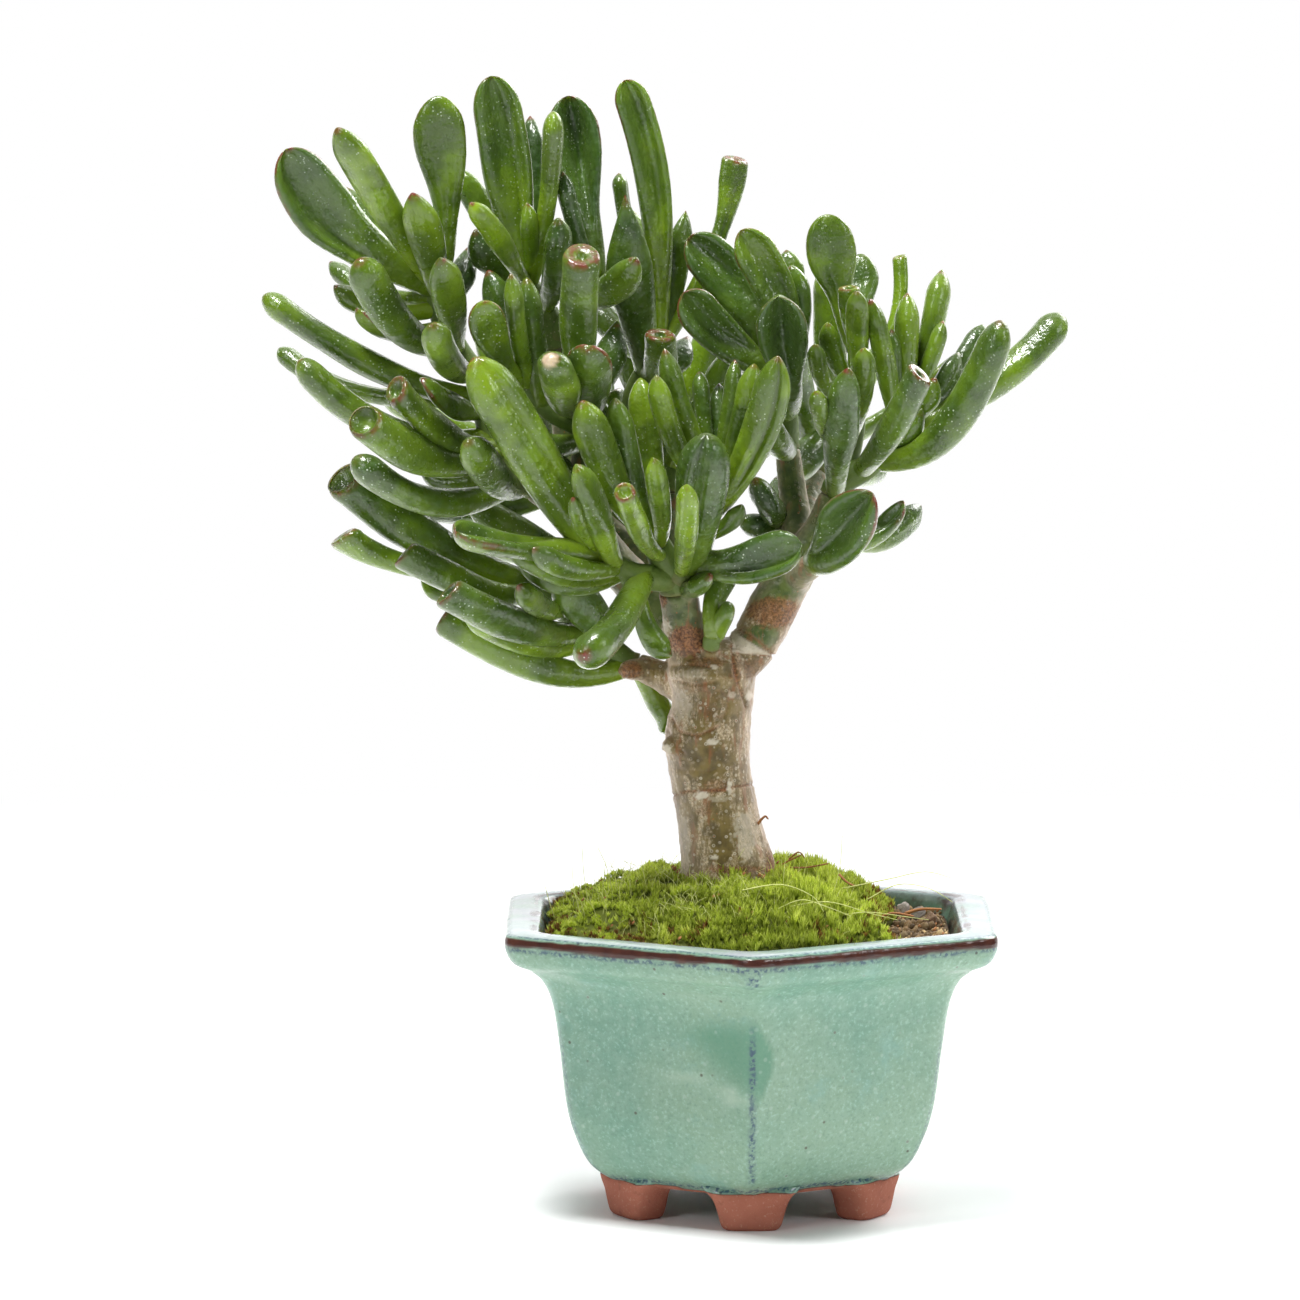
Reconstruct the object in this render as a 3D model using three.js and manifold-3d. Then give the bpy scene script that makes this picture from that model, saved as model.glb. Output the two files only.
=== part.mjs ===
// Jade bonsai: a finger-leaved jade plant with a forked woody trunk, standing in a
// six-sided glazed pot of soil under a cushion of moss.
//
// Millimetres, +Z up, the ground at z = 0. Everything is worked out from the pot's
// middle axis, and the finished group is then moved so that its origin lies under
// the middle of the whole plant, on the ground.
//
// The crown is drawn on a front sheet: the upright plane through the pot's axis,
// as seen by somebody 1.8 m in front of it, whose eye is 350 mm above the ground.
// A place on it is [across, up], and a depth (minus is towards the front) moves the
// place along that person's line of sight, so the drawing stays true whatever the
// depth is.

import * as THREE from 'three';
import { mergeVertices } from 'three/addons/utils/BufferGeometryUtils.js';
import Module from 'manifold-3d';

// ---------------------------------------------------------------- driving sizes

const FIT_GAP = 0.35;            // air between two pieces that touch

const POT_HEIGHT = 75.5;
const POT_FLOOR_TOP = 14;        // inside floor of the pot
const DRAIN_RADIUS = 7;
const FOOT_RING = 33.5;          // distance of each foot from the pot's axis
const FOOT_TOP = 12;             // the feet are sunk into the body up to here

const SOIL_TOP = 71.2;
const BARE_EDGE = 35;            // the moss stops here, the soil beyond is bare
const MOSS_CENTRE = -6;
const MOSS_SWELL = 13.5;         // rise of the moss from its edge to the trunk

const EYE = new THREE.Vector3(-25.6, -1800, 350);

// Pot wall, from the underside over the lip to the inside floor:
// [up, distance from axis to flat, corner radius].
const POT_WALL = [
  [9, 34.6, 6], [14, 40.6, 6], [21, 44.2, 6], [30, 46.8, 6],
  [45, 48.7, 6], [56, 50.6, 6], [62, 53.3, 6], [66, 56.7, 6],
  [69.2, 60.2, 6], [73, 62.2, 6], [75.2, 61.9, 6],
  [POT_HEIGHT, 60.6, 7], [POT_HEIGHT, 55, 9], [74.2, 53.2, 10], [SOIL_TOP, 52.3, 10.5],
  [62, 49.6, 11], [20, 40.2, 9], [POT_FLOOR_TOP, 34, 8],
];

// A foot, from the ground up: [up, width round the pot, depth].
const FOOT = [[0, 14, 9], [1.2, 16, 11], [6, 18.5, 12.5], [FOOT_TOP, 27, 14]];

// ------------------------------------------------------------------- solids

const wasm = await Module();
wasm.setup();

// A closed skin over rings of points that all have the same count. The ends are
// closed by fans to a middle point, which may be given, or the rings join up in a
// circle where the skin is a ring itself.
function skin(rings, { first, last, circle = false } = {}) {
  const count = rings[0].length;
  const points = rings.flat().map((p) => [p.x, p.y, p.z]);
  const faces = [];
  const stretch = circle ? rings.length : rings.length - 1;
  for (let r = 0; r < stretch; r += 1) {
    const low = r * count;
    const high = ((r + 1) % rings.length) * count;
    for (let i = 0; i < count; i += 1) {
      const j = (i + 1) % count;
      faces.push([low + i, low + j, high + j], [low + i, high + j, high + i]);
    }
  }
  if (!circle) {
    for (const [start, middle, turn] of [[0, first, true], [rings.length - 1, last, false]]) {
      const ring = rings[start];
      const centre = middle ?? ring.reduce((sum, p) => sum.add(p), new THREE.Vector3()).divideScalar(count);
      const hub = points.push([centre.x, centre.y, centre.z]) - 1;
      for (let i = 0; i < count; i += 1) {
        const a = start * count + i;
        const b = start * count + ((i + 1) % count);
        faces.push(turn ? [hub, b, a] : [hub, a, b]);
      }
    }
  }
  const inward = faces.reduce((volume, [a, b, c]) => volume
    + new THREE.Vector3(...points[a]).dot(
      new THREE.Vector3(...points[b]).cross(new THREE.Vector3(...points[c]))), 0) < 0;
  const geometry = new THREE.BufferGeometry();
  geometry.setAttribute('position', new THREE.Float32BufferAttribute(points.flat(), 3));
  geometry.setIndex(faces.flatMap(([a, b, c]) => (inward ? [a, c, b] : [a, b, c])));
  return geometry;
}

function solid(geometry) {
  const bare = geometry.clone();
  bare.deleteAttribute('normal');
  bare.deleteAttribute('uv');
  const merged = mergeVertices(bare, 1e-4);
  return new wasm.Manifold(new wasm.Mesh({
    numProp: 3,
    vertProperties: merged.attributes.position.array,
    triVerts: Uint32Array.from(merged.index.array),
  }));
}

// The largest closed body of a joined solid: sealed hollows are filled by it and
// loose scraps are dropped.
function oneBody(joined) {
  return joined.decompose().reduce((best, body) => (body.volume() > best.volume() ? body : best));
}

function geometryOf(body) {
  const { vertProperties, triVerts } = body.getMesh();
  const geometry = new THREE.BufferGeometry();
  geometry.setAttribute('position', new THREE.Float32BufferAttribute(vertProperties, 3));
  geometry.setIndex(Array.from(triVerts));
  geometry.computeVertexNormals();
  return geometry;
}

const bonsai = new THREE.Group();
bonsai.name = 'jade_bonsai';

function addPiece(name, body, { color, roughness, metalness = 0 }) {
  const material = new THREE.MeshStandardMaterial({ color, roughness, metalness });
  const piece = new THREE.Mesh(geometryOf(body), material);
  piece.name = name;
  bonsai.add(piece);
}

function seeded(seed) {
  let state = seed;
  return () => {
    state = (state * 16807) % 2147483647;
    return state / 2147483647;
  };
}

// ---------------------------------------------------------------------- pot

// One level of a six-sided shape with rounded corners, a corner facing the front.
function hexagon(up, flat, corner) {
  const points = [];
  for (let k = 0; k < 6; k += 1) {
    const bearing = -Math.PI / 2 + (k * Math.PI) / 3;
    const reach = (flat - corner) / Math.cos(Math.PI / 6);
    for (const turn of [-30, 0, 30]) {
      const a = bearing + THREE.MathUtils.degToRad(turn);
      points.push(new THREE.Vector3(
        reach * Math.cos(bearing) + corner * Math.cos(a),
        reach * Math.sin(bearing) + corner * Math.sin(a),
        up,
      ));
    }
  }
  return points;
}

function upright(radius, low, high, sides = 16) {
  const geometry = new THREE.CylinderGeometry(radius, radius, high - low, sides);
  geometry.rotateX(Math.PI / 2);
  geometry.translate(0, 0, (low + high) / 2);
  return solid(geometry);
}

function foot(bearing) {
  const rings = FOOT.map(([up, wide, deep]) => {
    const ring = [];
    for (let i = 0; i < 8; i += 1) {
      const a = ((i + 0.5) / 8) * 2 * Math.PI;
      const round = (value) => Math.sign(value) * Math.abs(value) ** 0.6;
      const out = FOOT_RING + (deep / 2) * round(Math.cos(a));
      const side = (wide / 2) * round(Math.sin(a));
      ring.push(new THREE.Vector3(
        out * Math.cos(bearing) - side * Math.sin(bearing),
        out * Math.sin(bearing) + side * Math.cos(bearing),
        up,
      ));
    }
    return ring;
  });
  return solid(skin(rings));
}

function pot() {
  let body = solid(skin(POT_WALL.map(([up, flat, corner]) => hexagon(up, flat, corner))));
  for (let k = 0; k < 6; k += 1) {
    body = body.add(foot(-Math.PI / 2 + (k * Math.PI) / 3));
  }
  return oneBody(body.subtract(upright(DRAIN_RADIUS, 0, POT_FLOOR_TOP + 2)));
}

const DRAIN_MESH = { radius: 12, thickness: 1, slot: 3.2, pitch: 2.7 };

function drainMesh() {
  const low = POT_FLOOR_TOP + FIT_GAP;
  let disc = upright(DRAIN_MESH.radius, low, low + DRAIN_MESH.thickness);
  for (const row of [-1, 1]) {
    for (const column of [-1, 1]) {
      const slot = new THREE.BoxGeometry(DRAIN_MESH.slot, DRAIN_MESH.slot, 4);
      slot.translate(column * DRAIN_MESH.pitch, row * DRAIN_MESH.pitch, low);
      disc = disc.subtract(solid(slot));
    }
  }
  return disc;
}

// -------------------------------------------------------------- wood and stems

// Every branch is a list of [across, up, depth, radius] on the front sheet. The
// trunk's own list runs from its stump in the soil, over the flare at the moss and
// the swollen rings that old leaves left, to the fork.
const WOOD = {
  trunk: [
    [-5, 44, 0, 8.5], [-5, 62, 0, 11.5], [-5.6, 80, 0, 14], [-5.8, 88, 0, 12.2], [-6.7, 93, 0, 11.2],
    [-8, 100, 0, 10.6], [-9.1, 106, 0, 10.5], [-9.9, 110, 0, 10.4], [-10.6, 116, 0, 10.7],
    [-10.7, 122, 0, 11], [-9.8, 128, 0, 10.3], [-9.4, 133, 0, 10.5], [-9.6, 138, 0, 11.6],
    [-9, 141.5, 0, 10], [-8.6, 144.5, 0, 6.5], [-8.6, 146.5, 0, 3],
  ],
  front: [[-12, 129, 0, 6], [-14.6, 138, -1, 6.3], [-16.2, 146, -3, 5], [-17.2, 153, -4, 4.9], [-18.5, 159, -6, 4.8]],
  right: [
    [-7, 131, 0, 4], [-3.2, 138.5, 0.5, 4.8], [-0.4, 143, 1, 5.9], [3.6, 150, 2.5, 6.4],
    [7.2, 157.5, 4, 6.3], [12.6, 166, 6, 5.6], [18.5, 175, 7, 4.6], [21.5, 183, 6, 4],
  ],
  right_inner: [[13, 164, 6, 4], [12, 175, 13, 3.9], [10.5, 186, 17, 3.6], [9.5, 195, 17, 3.2]],
  right_low: [[11, 161, 4, 4], [14, 164, -3, 3.4], [17, 166.5, -7, 3]],
  right_back: [[11, 161, 5, 4], [8, 168, 13, 3.4], [7.5, 174, 17, 3]],
  crown: [[-10, 129, 3, 6.5], [-15.5, 143, 8, 6.2], [-24, 155, 13, 5.5], [-36, 168, 14, 5.1], [-43, 179, 13, 4.8]],
  fork: [[-10.5, 139, -5, 3.2], [-10, 144, -7.5, 2.2]],
  left: [[-37, 170, 14, 4], [-47, 179, 10, 3.7], [-55, 185, 7, 3.4]],
  upper_left: [[-42, 177, 13, 4.2], [-52, 192, 17, 3.9], [-62, 205, 17, 3.6], [-69, 213, 16, 3.3]],
  centre: [[-42, 177, 13, 4], [-42.5, 188, 5, 3.7], [-42, 197, 1, 3.4]],
  top: [[-43, 179, 13, 4.6], [-46, 195, 18, 4], [-48, 210, 18, 3.7], [-50, 221, 16, 3.4]],
  top_right: [[-41, 176, 14, 4], [-35, 189, 20, 3.7], [-31, 201, 22, 3.4]],
  low_left: [[-14, 132, 3, 5], [-23, 137, 6, 3.9], [-29, 139.5, 7, 3.3]],
  back: [[-10, 130, 4, 6.5], [-15, 145, 15, 5.5], [-20, 160, 27, 4.9], [-21, 173, 34, 4.4], [-21, 183, 38, 4]],
  back_left: [[-20, 162, 28, 4], [-32, 171, 38, 3.7], [-45, 182, 43, 3.3]],
  back_right: [[11, 162, 5, 4.2], [12, 171, 18, 3.8], [14.5, 180, 30, 3.5], [17, 188, 39, 3.2]],
  back_low: [[-19, 157, 25, 3.8], [-26, 160, 33, 3.4], [-31, 163, 38, 3]],
};

// Roots that hold the plant in the soil: [bearing in degrees, reach, drop].
const ROOTS = [[20, 26, 20], [110, 22, 24], [195, 27, 18], [290, 25, 21]];

function place([across, up, depth]) {
  const reach = 1 + depth / -EYE.y;
  return new THREE.Vector3(
    EYE.x + (across - EYE.x) * reach,
    depth,
    EYE.z + (up - EYE.z) * reach,
  );
}

// A smooth line through its knots, each a place with a radius. Along is counted in
// knots, and the line answers with place, heading and radius.
function smoothLine(knots) {
  const knot = (i) => knots[THREE.MathUtils.clamp(i, 0, knots.length - 1)];
  return (along) => {
    const i = Math.min(Math.floor(along), knots.length - 2);
    const t = along - i;
    const [a, b, c, d] = [knot(i - 1), knot(i), knot(i + 1), knot(i + 2)];
    const blend = (weights) => new THREE.Vector3()
      .addScaledVector(a.at, weights[0]).addScaledVector(b.at, weights[1])
      .addScaledVector(c.at, weights[2]).addScaledVector(d.at, weights[3]);
    const at = blend([
      (-t + 2 * t * t - t * t * t) / 2, (2 - 5 * t * t + 3 * t * t * t) / 2,
      (t + 4 * t * t - 3 * t * t * t) / 2, (-t * t + t * t * t) / 2,
    ]);
    const heading = blend([
      (-1 + 4 * t - 3 * t * t) / 2, (-10 * t + 9 * t * t) / 2,
      (1 + 8 * t - 9 * t * t) / 2, (-2 * t + 3 * t * t) / 2,
    ]).normalize();
    return { at, heading, radius: b.radius + (c.radius - b.radius) * t };
  };
}

const DEPTH_WAY = new THREE.Vector3(0, 1, 0);

// The radius is a little larger to make up for the flats.
function stemRings(knots, sides, grow = 0) {
  const line = smoothLine(knots);
  const flats = (1 + 1 / Math.cos(Math.PI / sides)) / 2;
  const rings = [];
  for (let s = 0; s < knots.length; s += 1) {
    const { at, heading, radius } = line(s);
    const across = new THREE.Vector3().crossVectors(DEPTH_WAY, heading).normalize();
    const over = new THREE.Vector3().crossVectors(heading, across);
    const ring = [];
    for (let i = 0; i < sides; i += 1) {
      const a = (i / sides) * 2 * Math.PI;
      ring.push(at.clone()
        .addScaledVector(across, (radius + grow) * flats * Math.cos(a))
        .addScaledVector(over, (radius + grow) * flats * Math.sin(a)));
    }
    rings.push(ring);
  }
  return rings;
}

const knotsOf = (list) => list.map((row) => ({ at: place(row), radius: row[3] }));

function rootKnots([bearing, reach, drop]) {
  const a = THREE.MathUtils.degToRad(bearing);
  const step = (out, down, radius) => ({
    at: new THREE.Vector3(-5 + reach * out * Math.cos(a), reach * out * Math.sin(a), 62 - drop * down),
    radius,
  });
  return [step(0.1, 0, 5), step(0.5, 0.25, 3.6), step(1, 1, 1.4)];
}

// The whole woody plant as one body. Grown a little, the same body is the plain
// hole that it stands in.
function wood(names, grow = 0) {
  let body = solid(skin(stemRings(knotsOf(WOOD.trunk), 10, grow)));
  for (const name of names) {
    const knots = knotsOf(WOOD[name]);
    const sides = knots[0].radius > 5 ? 8 : 5;
    body = body.add(solid(skin(stemRings(knots, sides, grow))));
  }
  for (const root of ROOTS) {
    body = body.add(solid(skin(stemRings(rootKnots(root), 5, grow))));
  }
  return oneBody(body);
}

// ----------------------------------------------------------------- leafy stems

// Green stems grow on from the end of the branch of the same name. Each is a list
// of shoots [across, up, depth, radius]; the first one carries on the wood.
//
// Leaves are [tip across, tip up, tip depth, base across, base up, width, form,
// tone, way its hollow face looks]. A tone of 0 is an old dark leaf and 1 a young
// bright one. Without a way given, the hollow face looks in and up, at the shoot.
const LEAFY = {
  front: {
    shoots: [
      [[-21, 165, -9, 4.2], [-25, 173, -12, 3.2]],
      [[-19, 162, -9, 3.7], [-14, 168, -11, 3.3], [-11, 176, -10, 2.9], [-9, 185, -8, 2.4]],
      [[-20, 162, -8, 3.7], [-30, 163, -15, 3.2], [-38, 168, -17, 2.8]],
    ],
    leaves: [
      [-73, 217, -34, -38, 168, 13, 'finger', 0.8, 'front'],
      [-75, 174, -46, -50, 177, 12, 'spoon', 0.5, 'up'],
      [-56, 170, -38, -36, 163, 6.5, 'finger', 0.5],
      [-62, 170, -28, -38, 158, 7, 'finger', 0.5],
      [-60, 169, -18, -40, 153, 8, 'finger', 0.3],
      [-45, 183, -44, -41, 173, 4.5, 'finger', 1],
      [-44, 209, -30, -31, 174, 9, 'finger', 0.85, 'front'],
      [-35, 210, -18, -28, 174, 8, 'finger', 0.2],
      [-30, 213, -8, -25, 178, 8, 'finger', 0.75],
      [-24, 214, -24, -19, 186, 6.5, 'finger', 0.85],
      [-22, 221, -12, -15, 192, 7.5, 'finger', 0.75],
      [-13, 215, -2, -11, 190, 5, 'finger', 0.2],
      [-8, 212, 4, -8, 192, 5, 'finger', 0.1],
      [-4, 218, -6, -6, 192, 5.5, 'finger', 0.5],
      [1, 217, -16, -3, 188, 7, 'finger', 0.5],
      [7, 219, -32, -3, 177, 9, 'finger', 0.8, 'front'],
      [-11, 199, -34, -14, 165, 12, 'cup', 0.2, 'front'],
      [-25, 193, -40, -19, 174, 6, 'finger', 1],
      [-16, 186, -48, -17, 164, 6.5, 'finger', 0.85],
      [-32, 184, -50, -24, 168, 5.5, 'cup', 1, 'front'],
      [-45, 191, -46, -33, 170, 8, 'finger', 0.7],
      [-43, 142, -50, -29, 158, 11, 'finger', 0.55],
      [-20, 142, -18, -32, 149, 6.5, 'finger', 0.6],
      [-10, 163, -20, -16, 160, 7, 'finger', 0.2],
      [13, 171, -26, -10, 165, 12, 'spoon', 0.1, 'front'],
      [-2, 181, -16, -8, 172, 5, 'finger', 0.7],
      [-52, 196, 0, -40, 178, 8, 'finger', 0.2],
      [-32, 192, -6, -25, 172, 8, 'finger', 0.1],
    ],
  },
  low_left: {
    shoots: [[[-38, 146, 9, 3.2], [-48, 154, 10, 3], [-58, 161, 10, 2.6]]],
    leaves: [
      [-77.5, 151.5, -4, -34, 131, 9, 'cup', 0.5],
      [-73, 153, -16, -44, 140, 6, 'finger', 0.8],
      [-77, 158, -26, -42, 148, 9, 'cup', 0.2],
      [-88, 168, -12, -56, 156, 8, 'cup', 0.5],
      [-84, 163, 20, -66, 154, 7, 'finger', 0.6],
      [-103.5, 172.5, -2, -83, 168, 9.5, 'trumpet', 0.6],
      [-103, 187, 4, -78, 173, 11, 'cup', 0.35, 'front'],
      [-86, 178, 26, -62, 163, 7, 'finger', 0.9],
      [-59, 161, -28, -46, 155, 6, 'finger', 0.6],
      [-18.8, 123, 16, -23.5, 131, 7.5, 'finger', 0.8],
      [-50, 162, -6, -31, 150, 10.5, 'finger', 0.15],
    ],
  },
  left: {
    shoots: [[[-61, 190, 5, 3.2], [-66, 198, 5, 3], [-69, 208, 6, 2.5]]],
    leaves: [
      [-101, 193, -20, -70, 172.5, 9.5, 'finger', 0.3],
      [-70, 199, -34, -60, 182, 9, 'finger', 0.55],
      [-98, 202, -32, -72, 189, 9.5, 'cup', 0.4, 'front'],
      [-90, 210, -24, -70, 192, 9, 'cup', 0.5, 'left'],
      [-115, 218, -6, -84, 190, 9.5, 'finger', 0.55],
      [-124, 234.5, 6, -78, 211, 8.8, 'cup', 0.45],
      [-120, 221, 26, -100, 209, 6, 'finger', 0.5],
      [-84, 213, -10, -72, 204, 8, 'spoon', 0.5, 'left'],
      [-84, 190, 12, -70, 184, 6, 'finger', 0.6],
      [-76, 190, 34, -64, 188, 7, 'finger', 0.4],
    ],
  },
  upper_left: {
    shoots: [[[-75, 221, 14, 3.2], [-79, 230, 12, 2.9], [-80, 237, 12, 2.4]]],
    leaves: [
      [-118, 271.5, -4, -98, 240, 14, 'spoon', 0.35, 'front'],
      [-105, 277, -22, -80, 243, 8.8, 'finger', 1],
      [-79.5, 285, 0, -72.5, 240, 11.5, 'paddle', 0.6, 'front'],
      [-103, 262, 24, -86, 240, 6.5, 'finger', 0.7],
      [-86, 260.5, -18, -76, 235, 8.5, 'finger', 0.75],
      [-79, 244, -28, -72, 222, 8, 'finger', 0.55],
      [-99.5, 243.5, -26, -85, 217, 9.8, 'finger', 0.25, 'front'],
      [-106, 237, 10, -92, 228, 7, 'finger', 0.9],
      [-107, 243, 30, -90, 232, 6, 'finger', 0.5],
      [-81, 227, -34, -73, 213, 8, 'finger', 0.5],
      [-100, 231, 0, -88, 221, 8, 'spoon', 0.7],
      [-70, 247, 14, -77, 230, 8.5, 'finger', 0.2],
    ],
  },
  centre: {
    shoots: [
      [[-43, 204, -2, 3.3], [-45, 211, -4, 2.8]],
      [[-43, 201, -1, 2.9], [-51, 205, -3, 2.7], [-58, 212, -4, 2.3]],
    ],
    leaves: [
      [-68, 233, -28, -62, 212, 9, 'paddle', 0.6, 'front'],
      [-61, 240, -20, -57, 211, 6, 'finger', 0.7],
      [-57, 239, -8, -54, 206, 9, 'finger', 0.45],
      [-43, 244, -22, -44, 210, 9.5, 'cup', 0.4, 'front'],
      [-49, 219, -38, -45, 205, 9, 'cup', 0.55, 'up'],
      [-41, 220, -34, -39, 204, 12, 'spoon', 0.25, 'up'],
      [-65, 243, 6, -56, 215, 9, 'finger', 0.15],
      [-34, 228, 4, -38, 206, 9, 'finger', 0.1],
      [-60, 196, -12, -47, 197, 8, 'finger', 0.25],
      [-29, 198, -14, -38, 198, 8, 'finger', 0.2],
    ],
  },
  top: {
    shoots: [
      [[-52, 230, 15, 3.2], [-57, 238, 14, 2.6]],
      [[-50, 224, 15, 2.9], [-44, 231, 12, 2.6], [-40, 238, 11, 2.2]],
    ],
    leaves: [
      [-66, 290, 4, -57, 240, 12.5, 'spoon', 0.55, 'front'],
      [-50, 281, -4, -51, 240, 8, 'trumpet', 0.8],
      [-46.5, 285, 14, -38.5, 240, 13, 'ladle', 0.05, 'front'],
      [-56, 280, 28, -54, 246, 7, 'finger', 0.1],
      [-29, 244, -10, -40, 231, 8.5, 'finger', 0.5],
      [-57, 258, 2, -53, 243, 6, 'finger', 0.6],
      [-73, 257, -16, -61, 236, 5.5, 'finger', 1],
      [-75, 266, 16, -61, 243, 6.5, 'finger', 0.4],
      [-48, 266, 4, -43, 244, 6, 'finger', 0.1],
      [-70, 250, 2, -63, 234, 8, 'finger', 0.3],
      [-49, 254, -6, -49, 232, 8, 'finger', 0.2],
    ],
  },
  top_right: {
    shoots: [[[-29, 210, 21, 3.2], [-24, 220, 19, 2.6]]],
    leaves: [
      [-32, 289, 8, -13, 239, 9, 'spoon', 0.75, 'front'],
      [-32, 260, 0, -28, 214, 10.5, 'point', 0.1, 'front'],
      [-23, 224, -6, -22, 212, 8, 'cup', 0.6, 'up'],
      [-33.5, 265.5, 22, -32, 246, 4.8, 'finger', 0.4],
      [-4, 268.5, 24, -5.5, 240, 7.2, 'trumpet', 0.6],
      [-16.5, 256, 22, -18, 236, 6.5, 'point', 0.3],
      [-30, 256, 48, -29, 226, 9, 'finger', 0.4],
      [-44, 245, 52, -34, 222, 9, 'cup', 0.4],
      [-16, 224, 32, -22, 212, 8, 'finger', 0.1],
    ],
  },
  right_inner: {
    shoots: [[[9, 203, 15, 3.2], [8, 212, 13, 2.8]]],
    leaves: [
      [7, 234, -16, 13, 204, 13, 'ladle', 0.25, 'front'],
      [-2.5, 251, 2, 22, 224, 10.5, 'spoon', 0.85, 'front'],
      [-16, 249, 12, 7, 235, 11.5, 'spoon', 0.35, 'front'],
      [-17, 235, -6, 0, 220, 11, 'spoon', 0.2, 'front'],
      [9, 246, 18, 12, 228, 7, 'finger', 0.3],
      [10, 242, 8, 17, 215, 7, 'finger', 0.2],
      [3, 204, -8, 12, 192, 8, 'finger', 0.3],
    ],
  },
  right: {
    shoots: [
      [[24, 187.5, 4, 3.6], [31, 191.5, 3, 3.1], [38, 199, 5, 2.5]],
      [[23, 187, 5, 3.2], [26, 198, 9, 2.9], [27, 210, 11, 2.6], [27, 221, 12, 2.2]],
    ],
    leaves: [
      [64, 228, -14, 46, 177, 9.8, 'finger', 0.4],
      [79.5, 229.5, 18, 54, 206, 9, 'cup', 0.5],
      [60, 227, 28, 45, 202, 7, 'finger', 0.15],
      [53, 220, 14, 45, 202, 6, 'finger', 0.3],
      [43, 214, -26, 28, 190, 8, 'cup', 0.35],
      [47, 213, -4, 41, 201, 6, 'finger', 0.4],
      [30.5, 233.5, -10, 38, 204, 6.5, 'finger', 0.7],
      [27, 235.5, -16, 28, 210, 5.5, 'finger', 1],
      [36, 226, 0, 38, 205, 4.8, 'finger', 0.3],
      [39.7, 235, 2, 39.5, 208, 8, 'finger', 0.6],
      [37.8, 244, 20, 41, 214, 3.8, 'cup', 0.7],
      [48.7, 241, 14, 45, 213, 8, 'finger', 0.6],
      [49, 228, 4, 43, 210, 5, 'finger', 0.6],
      [19.3, 255, 6, 22, 228, 12, 'paddle', 0.35, 'front'],
      [28, 245, 24, 28, 226, 10, 'paddle', 0.3, 'front'],
      [25, 236, -6, 27, 221, 5.5, 'cup', 0.9],
      [29, 221, -22, 27, 199, 6, 'finger', 1],
      [19.5, 227.5, -4, 22, 211, 5.5, 'finger', 0.8],
      [16.5, 222, -14, 19, 205, 4.5, 'finger', 0.8],
      [25, 216, -28, 19, 184, 8, 'finger', 0.1],
      [17, 210, -26, 19, 196, 5, 'finger', 1],
      [44, 206, -2, 36, 194, 7, 'finger', 0.3],
    ],
  },
  right_low: {
    shoots: [[[20, 168.5, -8, 2.8], [27, 171, -4, 2.3]]],
    leaves: [
      [31, 184, -34, 12, 163, 14, 'spoon', 0.15, 'front'],
      [39, 182, 2, 29, 168, 8.5, 'spoon', 0.1, 'left'],
      [43.5, 181, 14, 33, 170, 7, 'finger', 0.2],
    ],
  },
  right_back: {
    shoots: [[[8.5, 180, 18, 2.8], [11, 188, 20, 2.4]]],
    leaves: [
      [1, 188, 4, 8, 176, 9, 'finger', 0.1],
      [-3, 178, 12, 5, 174, 8, 'finger', 0.05],
      [7, 188, 30, 9, 178, 8, 'finger', 0.3],
      [18, 202, 36, 12, 188, 8, 'finger', 0.2],
    ],
  },
  fork: {
    shoots: [[[-8.3, 147.4, -8.5, 1.9]]],
    leaves: [
      [-5.2, 153.9, -9, -8, 148.6, 6.4, 'finger', 0.35],
      [-4, 166, 4, -14, 151, 7, 'finger', 0.3],
    ],
  },
  back: { shoots: [[[-21, 193, 42, 3.4], [-20, 204, 48, 2.6]]], leaves: [] },
  back_left: { shoots: [[[-53, 190, 46, 3], [-62, 200, 49, 2.4]]], leaves: [] },
  back_right: { shoots: [[[19, 196, 44, 2.9], [21, 205, 48, 2.3]]], leaves: [] },
  back_low: { shoots: [[[-37, 166, 43, 2.8], [-44, 171, 47, 2.3]]], leaves: [] },
};

// Leaves on the shoots behind grow in crossed pairs, each pair a quarter turn round
// from the one below, and stand up more the nearer they are to the tip.
const PAIRS = {
  back: { pairs: 4, start: 0.7 },
  back_left: { pairs: 3, start: 0.7 },
  back_right: { pairs: 3, start: 1.3 },
  back_low: { pairs: 3, start: 0.2 },
};
const PAIR_LEAF = { length: 42, width: 8.5, lowTilt: 18, highTilt: 66 };
const PAIR_FORMS = ['finger', 'cup', 'finger', 'spoon', 'finger'];

// How each form of leaf runs from its base to its end, in parts of its own width
// and length: width of the handle, how far the handle goes, place of full width,
// thickness, depth of the hollow along the face, length of the closing end.
const FORMS = {
  finger: { neck: 0.6, handle: 0, full: 0.7, thick: 0.84, hollow: 0, end: 0.55 },
  point: { neck: 0.6, handle: 0, full: 0.6, thick: 0.7, hollow: 0, end: 1.4 },
  paddle: { neck: 0.48, handle: 0.35, full: 0.8, thick: 0.45, hollow: 0, end: 0.6 },
  ladle: { neck: 0.54, handle: 0.4, full: 0.8, thick: 0.5, hollow: 1.1, end: 0.45 },
  spoon: { neck: 0.54, handle: 0, full: 0.7, thick: 0.52, hollow: 1.15, end: 0.6 },
  cup: { neck: 0.62, handle: 0, full: 0.7, thick: 0.88, hollow: 0, end: 0 },
  trumpet: { neck: 0.58, handle: 0.6, full: 0.98, thick: 0.72, hollow: 0, end: 0 },
};

const WAYS = {
  front: new THREE.Vector3(0, -1, 0.35),
  up: new THREE.Vector3(0, -0.35, 1),
  left: new THREE.Vector3(-1, -0.5, 0.3),
};

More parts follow.
